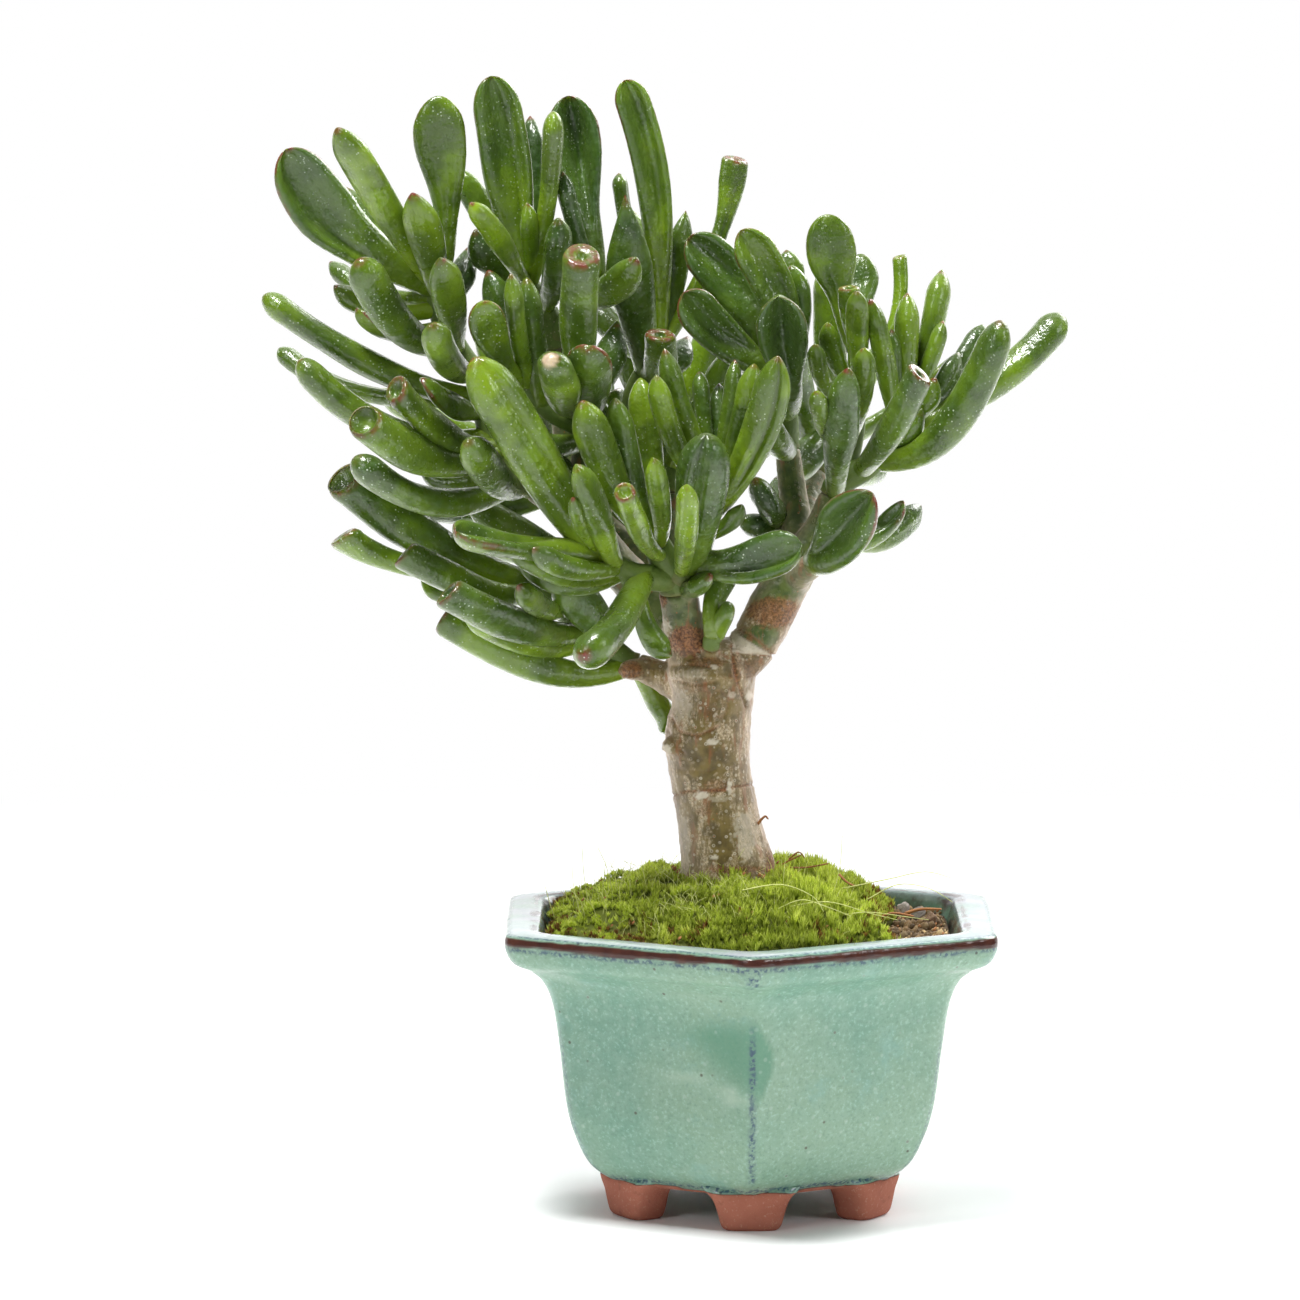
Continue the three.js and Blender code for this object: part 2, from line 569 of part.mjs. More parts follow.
// A shoot that carries on a branch starts flat against the branch's end.
function shootKnots(name, shoot, first) {
  const knots = knotsOf(shoot);
  if (!first) return knots;
  const branch = knotsOf(WOOD[name]);
  const end = branch.at(-1);
  const heading = end.at.clone().sub(branch.at(-2).at).normalize();
  return [
    { at: end.at.clone().addScaledVector(heading, FIT_GAP), radius: end.radius },
    { at: end.at.clone().addScaledVector(heading, 3), radius: end.radius },
    ...knots,
  ];
}

function nearestOnShoots(shoots, base) {
  let best = { away: Infinity };
  for (const shoot of shoots) {
    const line = smoothLine(shoot);
    for (let s = 0; s <= (shoot.length - 1) * 8; s += 1) {
      const spot = line(s / 8);
      const away = (spot.at.x - base.x) ** 2 + (spot.at.z - base.z) ** 2;
      if (away < best.away) best = { away, ...spot };
    }
  }
  return best;
}

const BASE_PULL = 0.35;          // how far up the leaf its bend lies
const SAG = 0.14;                // how far a leaf that reaches out hangs through

function growLeaf(name, root, tip, over, width, form, way) {
  const bend = over.clone().lerp(tip, BASE_PULL);
  const span = tip.clone().sub(root);
  bend.z -= SAG * Math.hypot(span.x, span.y);
  return { name, root, bend, tip, width, form, way };
}

// The way that a leaf's hollow face looks: in and up, at the line of the shoot.
function faceWay(root, heading, tip) {
  const middle = root.clone().lerp(tip, 0.5);
  const length = root.distanceTo(tip);
  const rise = middle.clone().sub(root).dot(heading) + 0.5 * length;
  return root.clone().addScaledVector(heading, rise).sub(middle)
    .add(new THREE.Vector3(0, -0.12 * length, 0.05 * length)).normalize();
}

const leaves = [];
const stems = {};

for (const [name, { shoots, leaves: rows }] of Object.entries(LEAFY)) {
  stems[name] = shoots.map((shoot, i) => shootKnots(name, shoot, i === 0));
  for (const [tipX, tipUp, tipDepth, baseX, baseUp, width, form, , way] of rows) {
    const tip = place([tipX, tipUp, tipDepth]);
    const nearest = nearestOnShoots(stems[name], place([baseX, baseUp, 0]));
    const depth = nearest.at.y + (tipDepth - nearest.at.y) * 0.3;
    const over = place([baseX, baseUp, depth]);
    const facing = way ? WAYS[way] : faceWay(nearest.at, nearest.heading, tip);
    leaves.push(growLeaf(name, nearest.at, tip, over, width, form, facing));
  }
}

for (const [name, { pairs, start }] of Object.entries(PAIRS)) {
  const shoot = stems[name][0];
  const line = smoothLine(shoot);
  const draw = seeded(31 + 7 * name.length);
  for (let pair = 0; pair < pairs; pair += 1) {
    const height = (pair + 0.5) / pairs;
    const { at, heading } = line(0.9 + height * (shoot.length - 1.95));
    const across = new THREE.Vector3().crossVectors(DEPTH_WAY, heading).normalize();
    const over = new THREE.Vector3().crossVectors(heading, across);
    for (const side of [0, Math.PI]) {
      const turn = start + pair * (Math.PI / 2) + side + 0.5 * (draw() - 0.5);
      const tilt = THREE.MathUtils.degToRad(PAIR_LEAF.lowTilt
        + (PAIR_LEAF.highTilt - PAIR_LEAF.lowTilt) * height + 14 * (draw() - 0.5));
      const length = PAIR_LEAF.length * (0.85 + 0.3 * draw());
      const width = PAIR_LEAF.width * (0.85 + 0.3 * draw());
      const out = across.clone().multiplyScalar(Math.cos(turn)).addScaledVector(over, Math.sin(turn));
      const way = out.multiplyScalar(Math.cos(tilt)).addScaledVector(heading, Math.sin(tilt));
      way.z = Math.max(way.z, -0.1);
      const tip = at.clone().addScaledVector(way, length);
      const form = PAIR_FORMS[Math.floor(draw() * PAIR_FORMS.length)];
      leaves.push(growLeaf(name, at, tip, at.clone().addScaledVector(way, 4), width, form,
        faceWay(at, heading, tip)));
    }
  }
}

function leafAt(leaf, s) {
  const at = leaf.root.clone().multiplyScalar((1 - s) ** 2)
    .addScaledVector(leaf.bend, 2 * s * (1 - s)).addScaledVector(leaf.tip, s * s);
  const heading = leaf.bend.clone().sub(leaf.root).multiplyScalar(1 - s)
    .addScaledVector(leaf.tip.clone().sub(leaf.bend), s).normalize();
  const across = new THREE.Vector3().crossVectors(heading, leaf.way).normalize();
  const over = new THREE.Vector3().crossVectors(across, heading);
  return { at, heading, across, over };
}

const smooth = (q) => q * q * (3 - 2 * q);

// Half width and half thickness of a leaf at s, before its closing end.
function leafGirth(leaf, s) {
  const { neck, handle, full, thick } = FORMS[leaf.form];
  const open = smooth(THREE.MathUtils.clamp((s - handle) / (full - handle), 0, 1));
  const wide = (leaf.width / 2) * (neck + (1 - neck) * open);
  const round = 1 - (1 - thick) * open;
  return { wide, deep: wide * round };
}

function leafEndStart(leaf) {
  const length = leaf.root.distanceTo(leaf.bend) + leaf.bend.distanceTo(leaf.tip);
  return 1 - (leaf.width * FORMS[leaf.form].end) / length;
}

// ------------------------------------------------ leaves bend clear of each other

// Each leaf is felt as a row of balls, and stems and wood as balls that stay put.
// Where balls of two leaves press, both leaves swing apart about their roots, more
// in depth than across, so that the front drawing keeps its lines.
const BALLS = 11;
const CLEAR = { other: 1, same: -1.6 };
const ROUNDS = 220;
const ROOT_ZONE = 10;             // wood this near a leaf's own root doesn't press it
const DRAWING_HOLD = 0.35;
const MOST_SWING = { side: 6, depth: 34 };

function leafBalls(leaf) {
  const balls = [];
  for (let i = 0; i < BALLS; i += 1) {
    const s = 0.14 + (0.82 * i) / (BALLS - 1);
    const { at, across } = leafAt(leaf, s);
    const { wide, deep } = leafGirth(leaf, s);
    for (const side of [-1, 1]) {
      balls.push({ s, at: at.clone().addScaledVector(across, side * Math.max(wide - deep, 0)), radius: deep });
    }
  }
  return balls;
}

function lineBalls(knots) {
  const line = smoothLine(knots);
  const balls = [];
  for (let s = 0; s <= (knots.length - 1) * 4; s += 1) balls.push(line(s / 4));
  return balls;
}

const fixed = [];
for (const knots of Object.values(WOOD).map(knotsOf)) {
  for (const ball of lineBalls(knots)) fixed.push({ name: 'wood', ...ball });
}
for (const [name, shoots] of Object.entries(stems)) {
  for (const shoot of shoots) for (const ball of lineBalls(shoot)) fixed.push({ name, ...ball });
}

function press(swing, ball, x, y, z) {
  const tipShare = ball.s * ball.s;
  const bendShare = 2 * ball.s * (1 - ball.s);
  const hold = Math.max(tipShare * tipShare + bendShare * bendShare, 0.2);
  swing.tip.x += (x * tipShare) / hold;
  swing.tip.y += (y * tipShare) / hold;
  swing.tip.z += (z * tipShare) / hold;
  swing.bend.x += (x * bendShare) / hold;
  swing.bend.y += (y * bendShare) / hold;
  swing.bend.z += (z * bendShare) / hold;
  swing.count += 1;
}

function hold(point, start) {
  const { side, depth } = MOST_SWING;
  point.x = THREE.MathUtils.clamp(point.x, start.x - side, start.x + side);
  point.y = THREE.MathUtils.clamp(point.y, start.y - depth, start.y + depth);
  point.z = THREE.MathUtils.clamp(point.z, start.z - side, start.z + side);
}

const starts = leaves.map((leaf) => ({ tip: leaf.tip.clone(), bend: leaf.bend.clone() }));

for (let round = 0; round < ROUNDS; round += 1) {
  const side = round < ROUNDS / 2 ? DRAWING_HOLD : 1;
  const rows = leaves.map(leafBalls);
  const swings = leaves.map(() => ({ tip: new THREE.Vector3(), bend: new THREE.Vector3(), count: 0 }));
  const boxes = rows.map((row) => {
    const box = new THREE.Box3().setFromPoints(row.map((ball) => ball.at));
    return box.expandByScalar(Math.max(...row.map((ball) => ball.radius)) + 1);
  });
  for (let i = 0; i < leaves.length; i += 1) {
    for (let j = i + 1; j < leaves.length; j += 1) {
      if (!boxes[i].intersectsBox(boxes[j])) continue;
      const together = leaves[i].name === leaves[j].name;
      for (const a of rows[i]) {
        for (const b of rows[j]) {
          if (together && (a.s < 0.5 || b.s < 0.5)) continue;
          const x = a.at.x - b.at.x;
          const y = a.at.y - b.at.y;
          const z = a.at.z - b.at.z;
          const apart = Math.sqrt(x * x + y * y + z * z) + 1e-9;
          const want = a.radius + b.radius + (together ? CLEAR.same : CLEAR.other);
          if (apart >= want) continue;
          const push = (0.5 * (want - apart)) / apart;
          press(swings[i], a, push * side * x, push * y, push * side * z);
          press(swings[j], b, -push * side * x, -push * y, -push * side * z);
        }
      }
    }
    for (const b of fixed) {
      if (b.name === leaves[i].name || boxes[i].distanceToPoint(b.at) > b.radius) continue;
      if (b.at.distanceTo(leaves[i].root) < ROOT_ZONE) continue;
      for (const a of rows[i]) {
        const x = a.at.x - b.at.x;
        const y = a.at.y - b.at.y;
        const z = a.at.z - b.at.z;
        const apart = Math.sqrt(x * x + y * y + z * z) + 1e-9;
        const want = a.radius + b.radius + CLEAR.other;
        if (apart >= want) continue;
        const push = (want - apart) / apart;
        press(swings[i], a, push * x, push * y, push * z);
      }
    }
  }
  leaves.forEach((leaf, i) => {
    const { tip, bend, count } = swings[i];
    if (count === 0) return;
    leaf.tip.addScaledVector(tip, 1 / count);
    leaf.bend.addScaledVector(bend, 1 / count);
    hold(leaf.tip, starts[i].tip);
    hold(leaf.bend, starts[i].bend);
  });
}

// --------------------------------------------------------------- leaves as solids

const BRANCHES = Object.keys(WOOD).filter((name) => name !== 'trunk');
const standing = wood(BRANCHES);
const branches = wood(BRANCHES, FIT_GAP);
const hole = wood([], FIT_GAP + 0.25);

// One cross-section of a leaf: round underneath, and hollowed along its face by a
// part of its thickness, and a little larger to make up for its flats. Slant moves
// the face's side back along the leaf.
function leafSection(leaf, s, shrink, sides, slant = 0) {
  const { at, heading, across, over } = leafAt(leaf, s);
  const girth = leafGirth(leaf, s);
  const flats = (1 + 1 / Math.cos(Math.PI / sides)) / 2;
  const wide = girth.wide * flats;
  const deep = girth.deep * flats;
  const hollow = FORMS[leaf.form].hollow * deep * smooth(Math.min(Math.max((s - 0.25) / 0.45, 0), 1));
  const ring = [];
  for (let i = 0; i < sides; i += 1) {
    const a = (i / sides) * 2 * Math.PI;
    const dip = Math.sin(a) > 0 ? hollow * Math.exp(-((Math.cos(a) / 0.5) ** 2)) : 0;
    const lift = (deep * Math.sin(a) - dip) * shrink;
    ring.push(at.clone()
      .addScaledVector(across, wide * Math.cos(a) * shrink)
      .addScaledVector(over, lift)
      .addScaledVector(heading, -slant * lift));
  }
  return ring;
}

const CUP = { rim: 0.66, depth: 0.32, slant: 0.5 };
const CURVED = 5.5;              // bow of a leaf that takes one section more
const SLENDER = 8.2;             // narrower leaves close with one section less

function leafSolid(leaf) {
  const plain = leaf.width < 10 ? 5 : 6;
  const sides = FORMS[leaf.form].hollow > 0 ? 8 : plain;
  const open = leaf.form === 'cup' || leaf.form === 'trumpet';
  if (open) {
    const start = leafAt(leaf, 1);
    const slant = CUP.slant;
    const middle = leaf.form === 'trumpet' ? 0.7 : 0.5;
    const rings = [
      leafSection(leaf, 0, 1, sides), leafSection(leaf, middle, 1, sides, slant * 0.2),
      leafSection(leaf, 1, 1.06, sides, slant), leafSection(leaf, 1, CUP.rim, sides, slant),
    ];
    const dish = start.at.clone().addScaledVector(start.heading, -CUP.depth * leaf.width);
    return solid(skin(rings, { last: dish }));
  }
  const end = leafEndStart(leaf);
  const close = (q) => (leaf.form === 'point' ? 1 - q ** 1.6 : Math.sqrt(1 - q * q));
  const chord = leaf.root.clone().lerp(leaf.tip, 0.5);
  const curved = chord.distanceTo(leafAt(leaf, 0.5).at) > CURVED;
  const stops = curved ? [[0, 1], [end * 0.36, 1], [end * 0.7, 1]] : [[0, 1], [end * 0.55, 1]];
  if (leaf.width < SLENDER) {
    stops.push([end + (1 - end) * 0.45, close(0.45)]);
  } else {
    stops.push([end, 1], [end + (1 - end) * 0.75, close(0.75)]);
  }
  const rings = stops.map(([s, shrink]) => leafSection(leaf, s, shrink, sides));
  return solid(skin(rings, { last: leaf.tip }));
}

function leafyStem(name) {
  const shoots = stems[name].map((knots) => solid(skin(stemRings(knots, 5))));
  const blades = leaves.filter((leaf) => leaf.name === name).map(leafSolid);
  return oneBody(wasm.Manifold.union([...shoots, ...blades]).subtract(branches));
}

// ---------------------------------------------------------------- soil and moss

function grain(x, y, size, turn) {
  const geometry = new THREE.IcosahedronGeometry(size, 0);
  geometry.scale(1, 0.8, 0.6);
  geometry.rotateZ(turn);
  geometry.translate(x, y, SOIL_TOP + size * 0.1);
  return solid(geometry);
}

const GRAINS = 6;
const PEBBLES = {
  pebble_white: { at: [40.5, 26], size: 1.9, color: '#d9d6d0' },
  pebble_grey: { at: [44, 14], size: 2.3, color: '#9a958d' },
  pebble_brown: { at: [46.5, 5], size: 2.1, color: '#8a6f52' },
};

function soil() {
  const inside = POT_WALL.slice(-4).reverse();
  const rings = inside.map(([up, flat, corner], i) => {
    const level = i === 0 ? POT_FLOOR_TOP + FIT_GAP : up;
    return hexagon(level, flat - FIT_GAP - 0.4, corner);
  });
  const crown = new THREE.Vector3(0, 0, SOIL_TOP);
  let body = solid(skin(rings, { last: crown })).subtract(hole);
  body = body.subtract(upright(DRAIN_MESH.radius + FIT_GAP, 0, POT_FLOOR_TOP + DRAIN_MESH.thickness + 2 * FIT_GAP));
  const draw = seeded(4127);
  for (let i = 0; i < GRAINS; i += 1) {
    const x = BARE_EDGE + 4 + 10 * draw();
    const y = (48 - x) * 1.5 * (2 * draw() - 1) + (draw() - 0.5) * 14;
    const size = 1.1 + 0.9 * draw();
    const clear = Object.values(PEBBLES).every(({ at, size: other }) => (
      Math.hypot(at[0] - x, at[1] - y) > size + other + 0.8));
    if (clear) body = body.add(grain(x, y, size, draw() * 3));
  }
  return oneBody(body);
}

function pebble({ at: [x, y], size }) {
  const geometry = new THREE.IcosahedronGeometry(size, 0);
  geometry.scale(1.15, 0.9, 0.7);
  geometry.translate(x, y, SOIL_TOP + FIT_GAP + size * 0.7);
  return solid(geometry);
}

// Distance from the moss's middle to its edge: the pot's inner wall, or the line
// where the bare soil starts.
function mossReach(bearing) {
  const x = Math.cos(bearing);
  const y = Math.sin(bearing);
  let reach = Infinity;
  for (let k = 0; k < 6; k += 1) {
    const wall = (k * Math.PI) / 3;
    const away = 51 - MOSS_CENTRE * Math.cos(wall);
    const towards = x * Math.cos(wall) + y * Math.sin(wall);
    if (towards > 0.01) reach = Math.min(reach, away / towards);
  }
  if (x > 0.01) {
    const edge = BARE_EDGE - MOSS_CENTRE + 2.5 * Math.sin(5 * bearing);
    reach = Math.min(reach, edge / x);
  }
  return reach;
}

function moss() {
  const sectors = 28;
  const levels = [0.12, 0.36, 0.6, 0.8, 0.94];
  const draw = seeded(977);
  const rings = [];
  const ringAt = (part, up) => {
    const ring = [];
    for (let i = 0; i < sectors; i += 1) {
      const bearing = (i / sectors) * 2 * Math.PI;
      const reach = mossReach(bearing) * part;
      ring.push(new THREE.Vector3(
        MOSS_CENTRE + reach * Math.cos(bearing), reach * Math.sin(bearing), up(bearing, reach)));
    }
    return ring;
  };
  for (const part of levels) {
    rings.push(ringAt(part, (bearing, reach) => SOIL_TOP + 2.6 + MOSS_SWELL * (1 - part ** 2.4)
      + 0.7 * Math.sin(reach * 0.55 + 3 * bearing) + 1.5 * (draw() - 0.5)));
  }
  rings.push(ringAt(1, () => SOIL_TOP + 1.8 + 0.6 * draw()));
  rings.push(ringAt(0.99, () => SOIL_TOP + FIT_GAP));
  rings.push(ringAt(0.12, () => SOIL_TOP + FIT_GAP));
  return oneBody(solid(skin(rings, { circle: true })).subtract(hole));
}

// --------------------------------------------------------------- the assembly

addPiece('pot', pot(), { color: '#7fb49a', roughness: 0.25 });
addPiece('drain_mesh', drainMesh(), { color: '#2b2b2b', roughness: 0.6 });
addPiece('soil', soil(), { color: '#4a3a2c', roughness: 0.95 });
addPiece('moss', moss(), { color: '#8fa62e', roughness: 0.95 });
for (const [name, row] of Object.entries(PEBBLES)) {
  addPiece(name, pebble(row), { color: row.color, roughness: 0.7 });
}
addPiece('trunk', standing, { color: '#94846a', roughness: 0.8 });

const OLD_LEAF = new THREE.Color('#2c5a1e');
const YOUNG_LEAF = new THREE.Color('#7fae3a');
for (const name of Object.keys(LEAFY)) {
  const tones = LEAFY[name].leaves.map((row) => row[7]);
  const tone = tones.reduce((sum, value) => sum + value, 0.4) / (tones.length + 1);
  addPiece(`leafy_stem_${name}`, leafyStem(name), {
    color: OLD_LEAF.clone().lerp(YOUNG_LEAF, tone), roughness: 0.35,
  });
}

const box = new THREE.Box3().setFromObject(bonsai);
bonsai.position.set(-(box.min.x + box.max.x) / 2, -(box.min.y + box.max.y) / 2, 0);

export default bonsai;
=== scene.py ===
# A jade bonsai in a six-sided glazed pot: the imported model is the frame, and each of
# its nodes is dressed here with a finer piece of the same form and place.
import math
import random

import bmesh
import bpy
import numpy as np
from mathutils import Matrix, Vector, noise


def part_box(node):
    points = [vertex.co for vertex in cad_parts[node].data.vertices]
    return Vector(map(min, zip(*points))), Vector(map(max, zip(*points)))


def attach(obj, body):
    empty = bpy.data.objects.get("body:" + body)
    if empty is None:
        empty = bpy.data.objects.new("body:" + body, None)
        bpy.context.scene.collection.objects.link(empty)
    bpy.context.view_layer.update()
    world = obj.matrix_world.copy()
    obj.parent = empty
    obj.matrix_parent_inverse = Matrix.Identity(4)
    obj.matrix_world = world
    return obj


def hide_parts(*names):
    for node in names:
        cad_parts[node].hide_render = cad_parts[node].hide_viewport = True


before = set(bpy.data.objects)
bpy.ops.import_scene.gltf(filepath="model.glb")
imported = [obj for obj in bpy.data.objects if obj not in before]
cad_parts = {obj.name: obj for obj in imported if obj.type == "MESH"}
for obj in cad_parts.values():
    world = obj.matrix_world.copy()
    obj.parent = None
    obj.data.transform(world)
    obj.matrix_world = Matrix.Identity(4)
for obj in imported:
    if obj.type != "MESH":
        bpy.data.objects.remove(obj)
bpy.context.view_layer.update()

# ---------------- camera
# The viewer stands 1.8 m in front of the pot's axis and looks a little down on it.
# Lengths are millimetres from that axis, with the ground at 0, and turn into metres
# of the row frame only when they reach Blender.

MM = 0.001
pot_low, pot_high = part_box("pot")
POT_AXIS = Vector(((pot_low.x + pot_high.x) / 2, (pot_low.y + pot_high.y) / 2, 0))


def in_row(x, y, z):
    return POT_AXIS + Vector((x, y, z)) * MM


EYE = Vector((-25.6, -1800, 350))
LOOK_AT = Vector((-25.6, 0, 143.6))

camera_data = bpy.data.cameras.new("camera")
camera_data.sensor_width = 36
camera_data.lens = 196.15
camera_data.clip_end = 20
camera = bpy.data.objects.new("camera", camera_data)
camera.location = in_row(*EYE)
camera.rotation_euler = (LOOK_AT - EYE).to_track_quat("-Z", "Y").to_euler()
bpy.context.collection.objects.link(camera)
bpy.context.scene.camera = camera


# ---------------- studio floor
# A sheet of white paper: it lies flat under the pot and curves up far behind it. It
# is a stage piece, and the pot only stands on it.

def add_mesh(name, points, faces, slot=None, smooth=True):
    """A piece from points in millimetres, which rides on the plant's body when it is given a slot."""
    mesh = bpy.data.meshes.new(name)
    placed = np.asarray(points, float) * MM + np.array(POT_AXIS)
    mesh.from_pydata(placed.tolist(), [], faces)
    mesh.validate()
    mesh.shade_smooth() if smooth else mesh.shade_flat()
    piece = bpy.data.objects.new(name, mesh)
    bpy.context.collection.objects.link(piece)
    if slot:
        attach(piece, "root")
    return piece


def new_material(name):
    material = bpy.data.materials.new(name)
    material.use_nodes = True
    material.node_tree.nodes.clear()
    return material, material.node_tree


def add_node(tree, kind, sockets=None, **settings):
    made = tree.nodes.new(kind)
    for name, value in settings.items():
        setattr(made, name, value)
    for name, value in (sockets or {}).items():
        if isinstance(value, bpy.types.NodeSocket):
            tree.links.new(value, made.inputs[name])
        else:
            made.inputs[name].default_value = value
    return made


def mix_colour(tree, share, first, second, blend="MIX"):
    """The node that mixes two colours, each a socket or an (r, g, b)."""
    made = add_node(tree, "ShaderNodeMix", data_type="RGBA", blend_type=blend)
    for index, value in ((0, share), (6, first), (7, second)):
        if isinstance(value, bpy.types.NodeSocket):
            tree.links.new(value, made.inputs[index])
        elif index == 0:
            made.inputs[index].default_value = value
        else:
            made.inputs[index].default_value = (*value, 1)
    return made.outputs[2]


def calc(tree, operation, first, second=None, third=None):
    made = add_node(tree, "ShaderNodeMath", operation=operation)
    for index, value in enumerate((first, second, third)):
        if isinstance(value, bpy.types.NodeSocket):
            tree.links.new(value, made.inputs[index])
        elif value is not None:
            made.inputs[index].default_value = value
    return made.outputs[0]


def times(tree, first, second):
    return calc(tree, "MULTIPLY", first, second)


def ramp(tree, value, low, high, to_low=0.0, to_high=1.0):
    """A smooth step of value from to_low at low to to_high at high."""
    made = add_node(tree, "ShaderNodeMapRange", {"Value": value, "From Min": low, "From Max": high,
                                                 "To Min": to_low, "To Max": to_high},
                    interpolation_type="SMOOTHSTEP")
    return made.outputs[0]


def noise_value(tree, place, scale, detail=3.0, roughness=0.55, distortion=0.0):
    made = add_node(tree, "ShaderNodeTexNoise", {"Vector": place, "Scale": scale, "Detail": detail,
                                                 "Roughness": roughness, "Distortion": distortion})
    return made.outputs["Fac"]


def mix_shader(tree, share, first, second):
    made = add_node(tree, "ShaderNodeMixShader", {"Fac": share})
    tree.links.new(first.outputs[0], made.inputs[1])
    tree.links.new(second.outputs[0], made.inputs[2])
    return made


def finished(material, shader):
    add_node(material.node_tree, "ShaderNodeOutputMaterial", {"Surface": shader.outputs[0]})
    return material


def place_in(tree):
    return add_node(tree, "ShaderNodeTexCoord").outputs["Object"]


def start_group(name, **sockets):
    """A node group with these named inputs: its tree, and what comes in."""
    tree = bpy.data.node_groups.new(name, "ShaderNodeTree")
    for label, kind in sockets.items():
        tree.interface.new_socket(label, in_out="INPUT", socket_type=f"NodeSocket{kind}")
    return tree, add_node(tree, "NodeGroupInput").outputs


def end_group(tree, label, kind, value):
    tree.interface.new_socket(label, in_out="OUTPUT", socket_type=f"NodeSocket{kind}")
    add_node(tree, "NodeGroupOutput", {label: value})
    return tree


def grain_group():
    """Two colours that a noise mixes: the grain of paper, skin, bark, glaze or earth."""
    tree, given = start_group("grain", Place="Vector", Scale="Float", Detail="Float",
                              Dark="Color", Light="Color")
    tone = noise_value(tree, given["Place"], given["Scale"], given["Detail"])
    return end_group(tree, "Colour", "Color", mix_colour(tree, tone, given["Dark"], given["Light"]))


GRAIN = grain_group()


def grain(tree, place, scale, dark, light, detail=3.0):
    made = add_node(tree, "ShaderNodeGroup", {"Place": place, "Scale": scale, "Detail": detail,
                                              "Dark": (*dark, 1), "Light": (*light, 1)},
                    node_tree=GRAIN)
    return made.outputs["Colour"]


def patches_group():
    """Where rust, bloom, dust or wear lies: a noise cut off softly into a mask."""
    tree, given = start_group("patches", Place="Vector", Scale="Float", Detail="Float", Roughness="Float",
                              From="Float", To="Float", Low="Float", High="Float")
    tone = noise_value(tree, given["Place"], given["Scale"], given["Detail"], given["Roughness"])
    return end_group(tree, "Mask", "Float",
                     ramp(tree, tone, given["From"], given["To"], given["Low"], given["High"]))


PATCHES = patches_group()


def patches(tree, place, kind, start, stop, low=0.0, high=1.0):
    """Kind is the noise's scale and, where they differ, its detail and roughness."""
    scale, detail, roughness = kind + (3.0, 0.55)[len(kind) - 1:]
    made = add_node(tree, "ShaderNodeGroup", {
        "Place": place, "Scale": scale, "Detail": detail, "Roughness": roughness,
        "From": start, "To": stop, "Low": low, "High": high}, node_tree=PATCHES)
    return made.outputs["Mask"]


PAPER = {"half_wide": 3000, "front": -2600, "bend_start": 900, "bend_radius": 700, "top": 2400}
BEND_STEPS = 16
PLAIN_WHITE = (0.3, 0.8)          # metres from the row's origin between which it turns plain


def floor_sweep():
    start, radius = PAPER["bend_start"], PAPER["bend_radius"]
    line = [(PAPER["front"], 0), (start, 0)]
    for step in range(1, BEND_STEPS + 1):
        turn = math.radians(90 * step / BEND_STEPS)
        line.append((start + radius * math.sin(turn), radius * (1 - math.cos(turn))))
    line.append((start + radius, PAPER["top"]))
    points, faces = [], []
    for y, z in line:
        points += [(-PAPER["half_wide"], y, z), (PAPER["half_wide"], y, z)]
    for row in range(len(line) - 1):
        a = 2 * row
        faces.append((a, a + 1, a + 3, a + 2))
    floor = add_mesh("floor", points, faces)
    material, tree = new_material("white_paper")
    place = place_in(tree)
    colour = grain(tree, place, 3.0, (0.91, 0.91, 0.915), (0.94, 0.94, 0.94))
    paper = add_node(tree, "ShaderNodeBsdfPrincipled", {"Base Color": colour, "Roughness": 0.7,
                                                        "Specular IOR Level": 0.2})
    # far from the pot the eye sees plain white, and from behind it sees past the paper
    seen = add_node(tree, "ShaderNodeLightPath").outputs["Is Camera Ray"]
    away = add_node(tree, "ShaderNodeVectorMath", {"Vector": place}, operation="LENGTH")
    plain = times(tree, seen, ramp(tree, away.outputs["Value"], *PLAIN_WHITE))
    white = add_node(tree, "ShaderNodeEmission", {"Strength": 1.0})
    front = mix_shader(tree, plain, paper, white)
    back = times(tree, seen, add_node(tree, "ShaderNodeNewGeometry").outputs["Backfacing"])
    clear = mix_shader(tree, back, front, add_node(tree, "ShaderNodeBsdfTransparent"))
    floor.data.materials.append(finished(material, clear))


floor_sweep()


# ---------------- studio light
# One large soft light overhead and slightly in front, a tall soft box at each side,
# one behind, one on the paper, and a white surround.

def soft_box(name, place, size, watts, tint=(1, 1, 1), aim=(-10, 0, 160)):
    data = bpy.data.lights.new(name, "AREA")
    data.shape = "RECTANGLE"
    data.size, data.size_y = size
    data.energy = watts
    data.color = tint
    light = bpy.data.objects.new(name, data)
    light.location = in_row(*place)
    light.rotation_euler = (Vector(aim) - Vector(place)).to_track_quat("-Z", "Y").to_euler()
    bpy.context.collection.objects.link(light)


soft_box("overhead", (-250, -350, 1400), (0.36, 0.28), 22)
soft_box("front_left", (-1200, -1500, 1100), (0.5, 0.7), 8, (0.97, 0.985, 1))
soft_box("front_right", (1400, -900, 900), (0.4, 0.7), 6.5, (0.97, 0.985, 1))
soft_box("behind", (700, 700, 850), (0.9, 0.6), 13)
soft_box("backdrop", (0, 500, 1500), (2.4, 0.6), 16, aim=(0, 1500, 500))

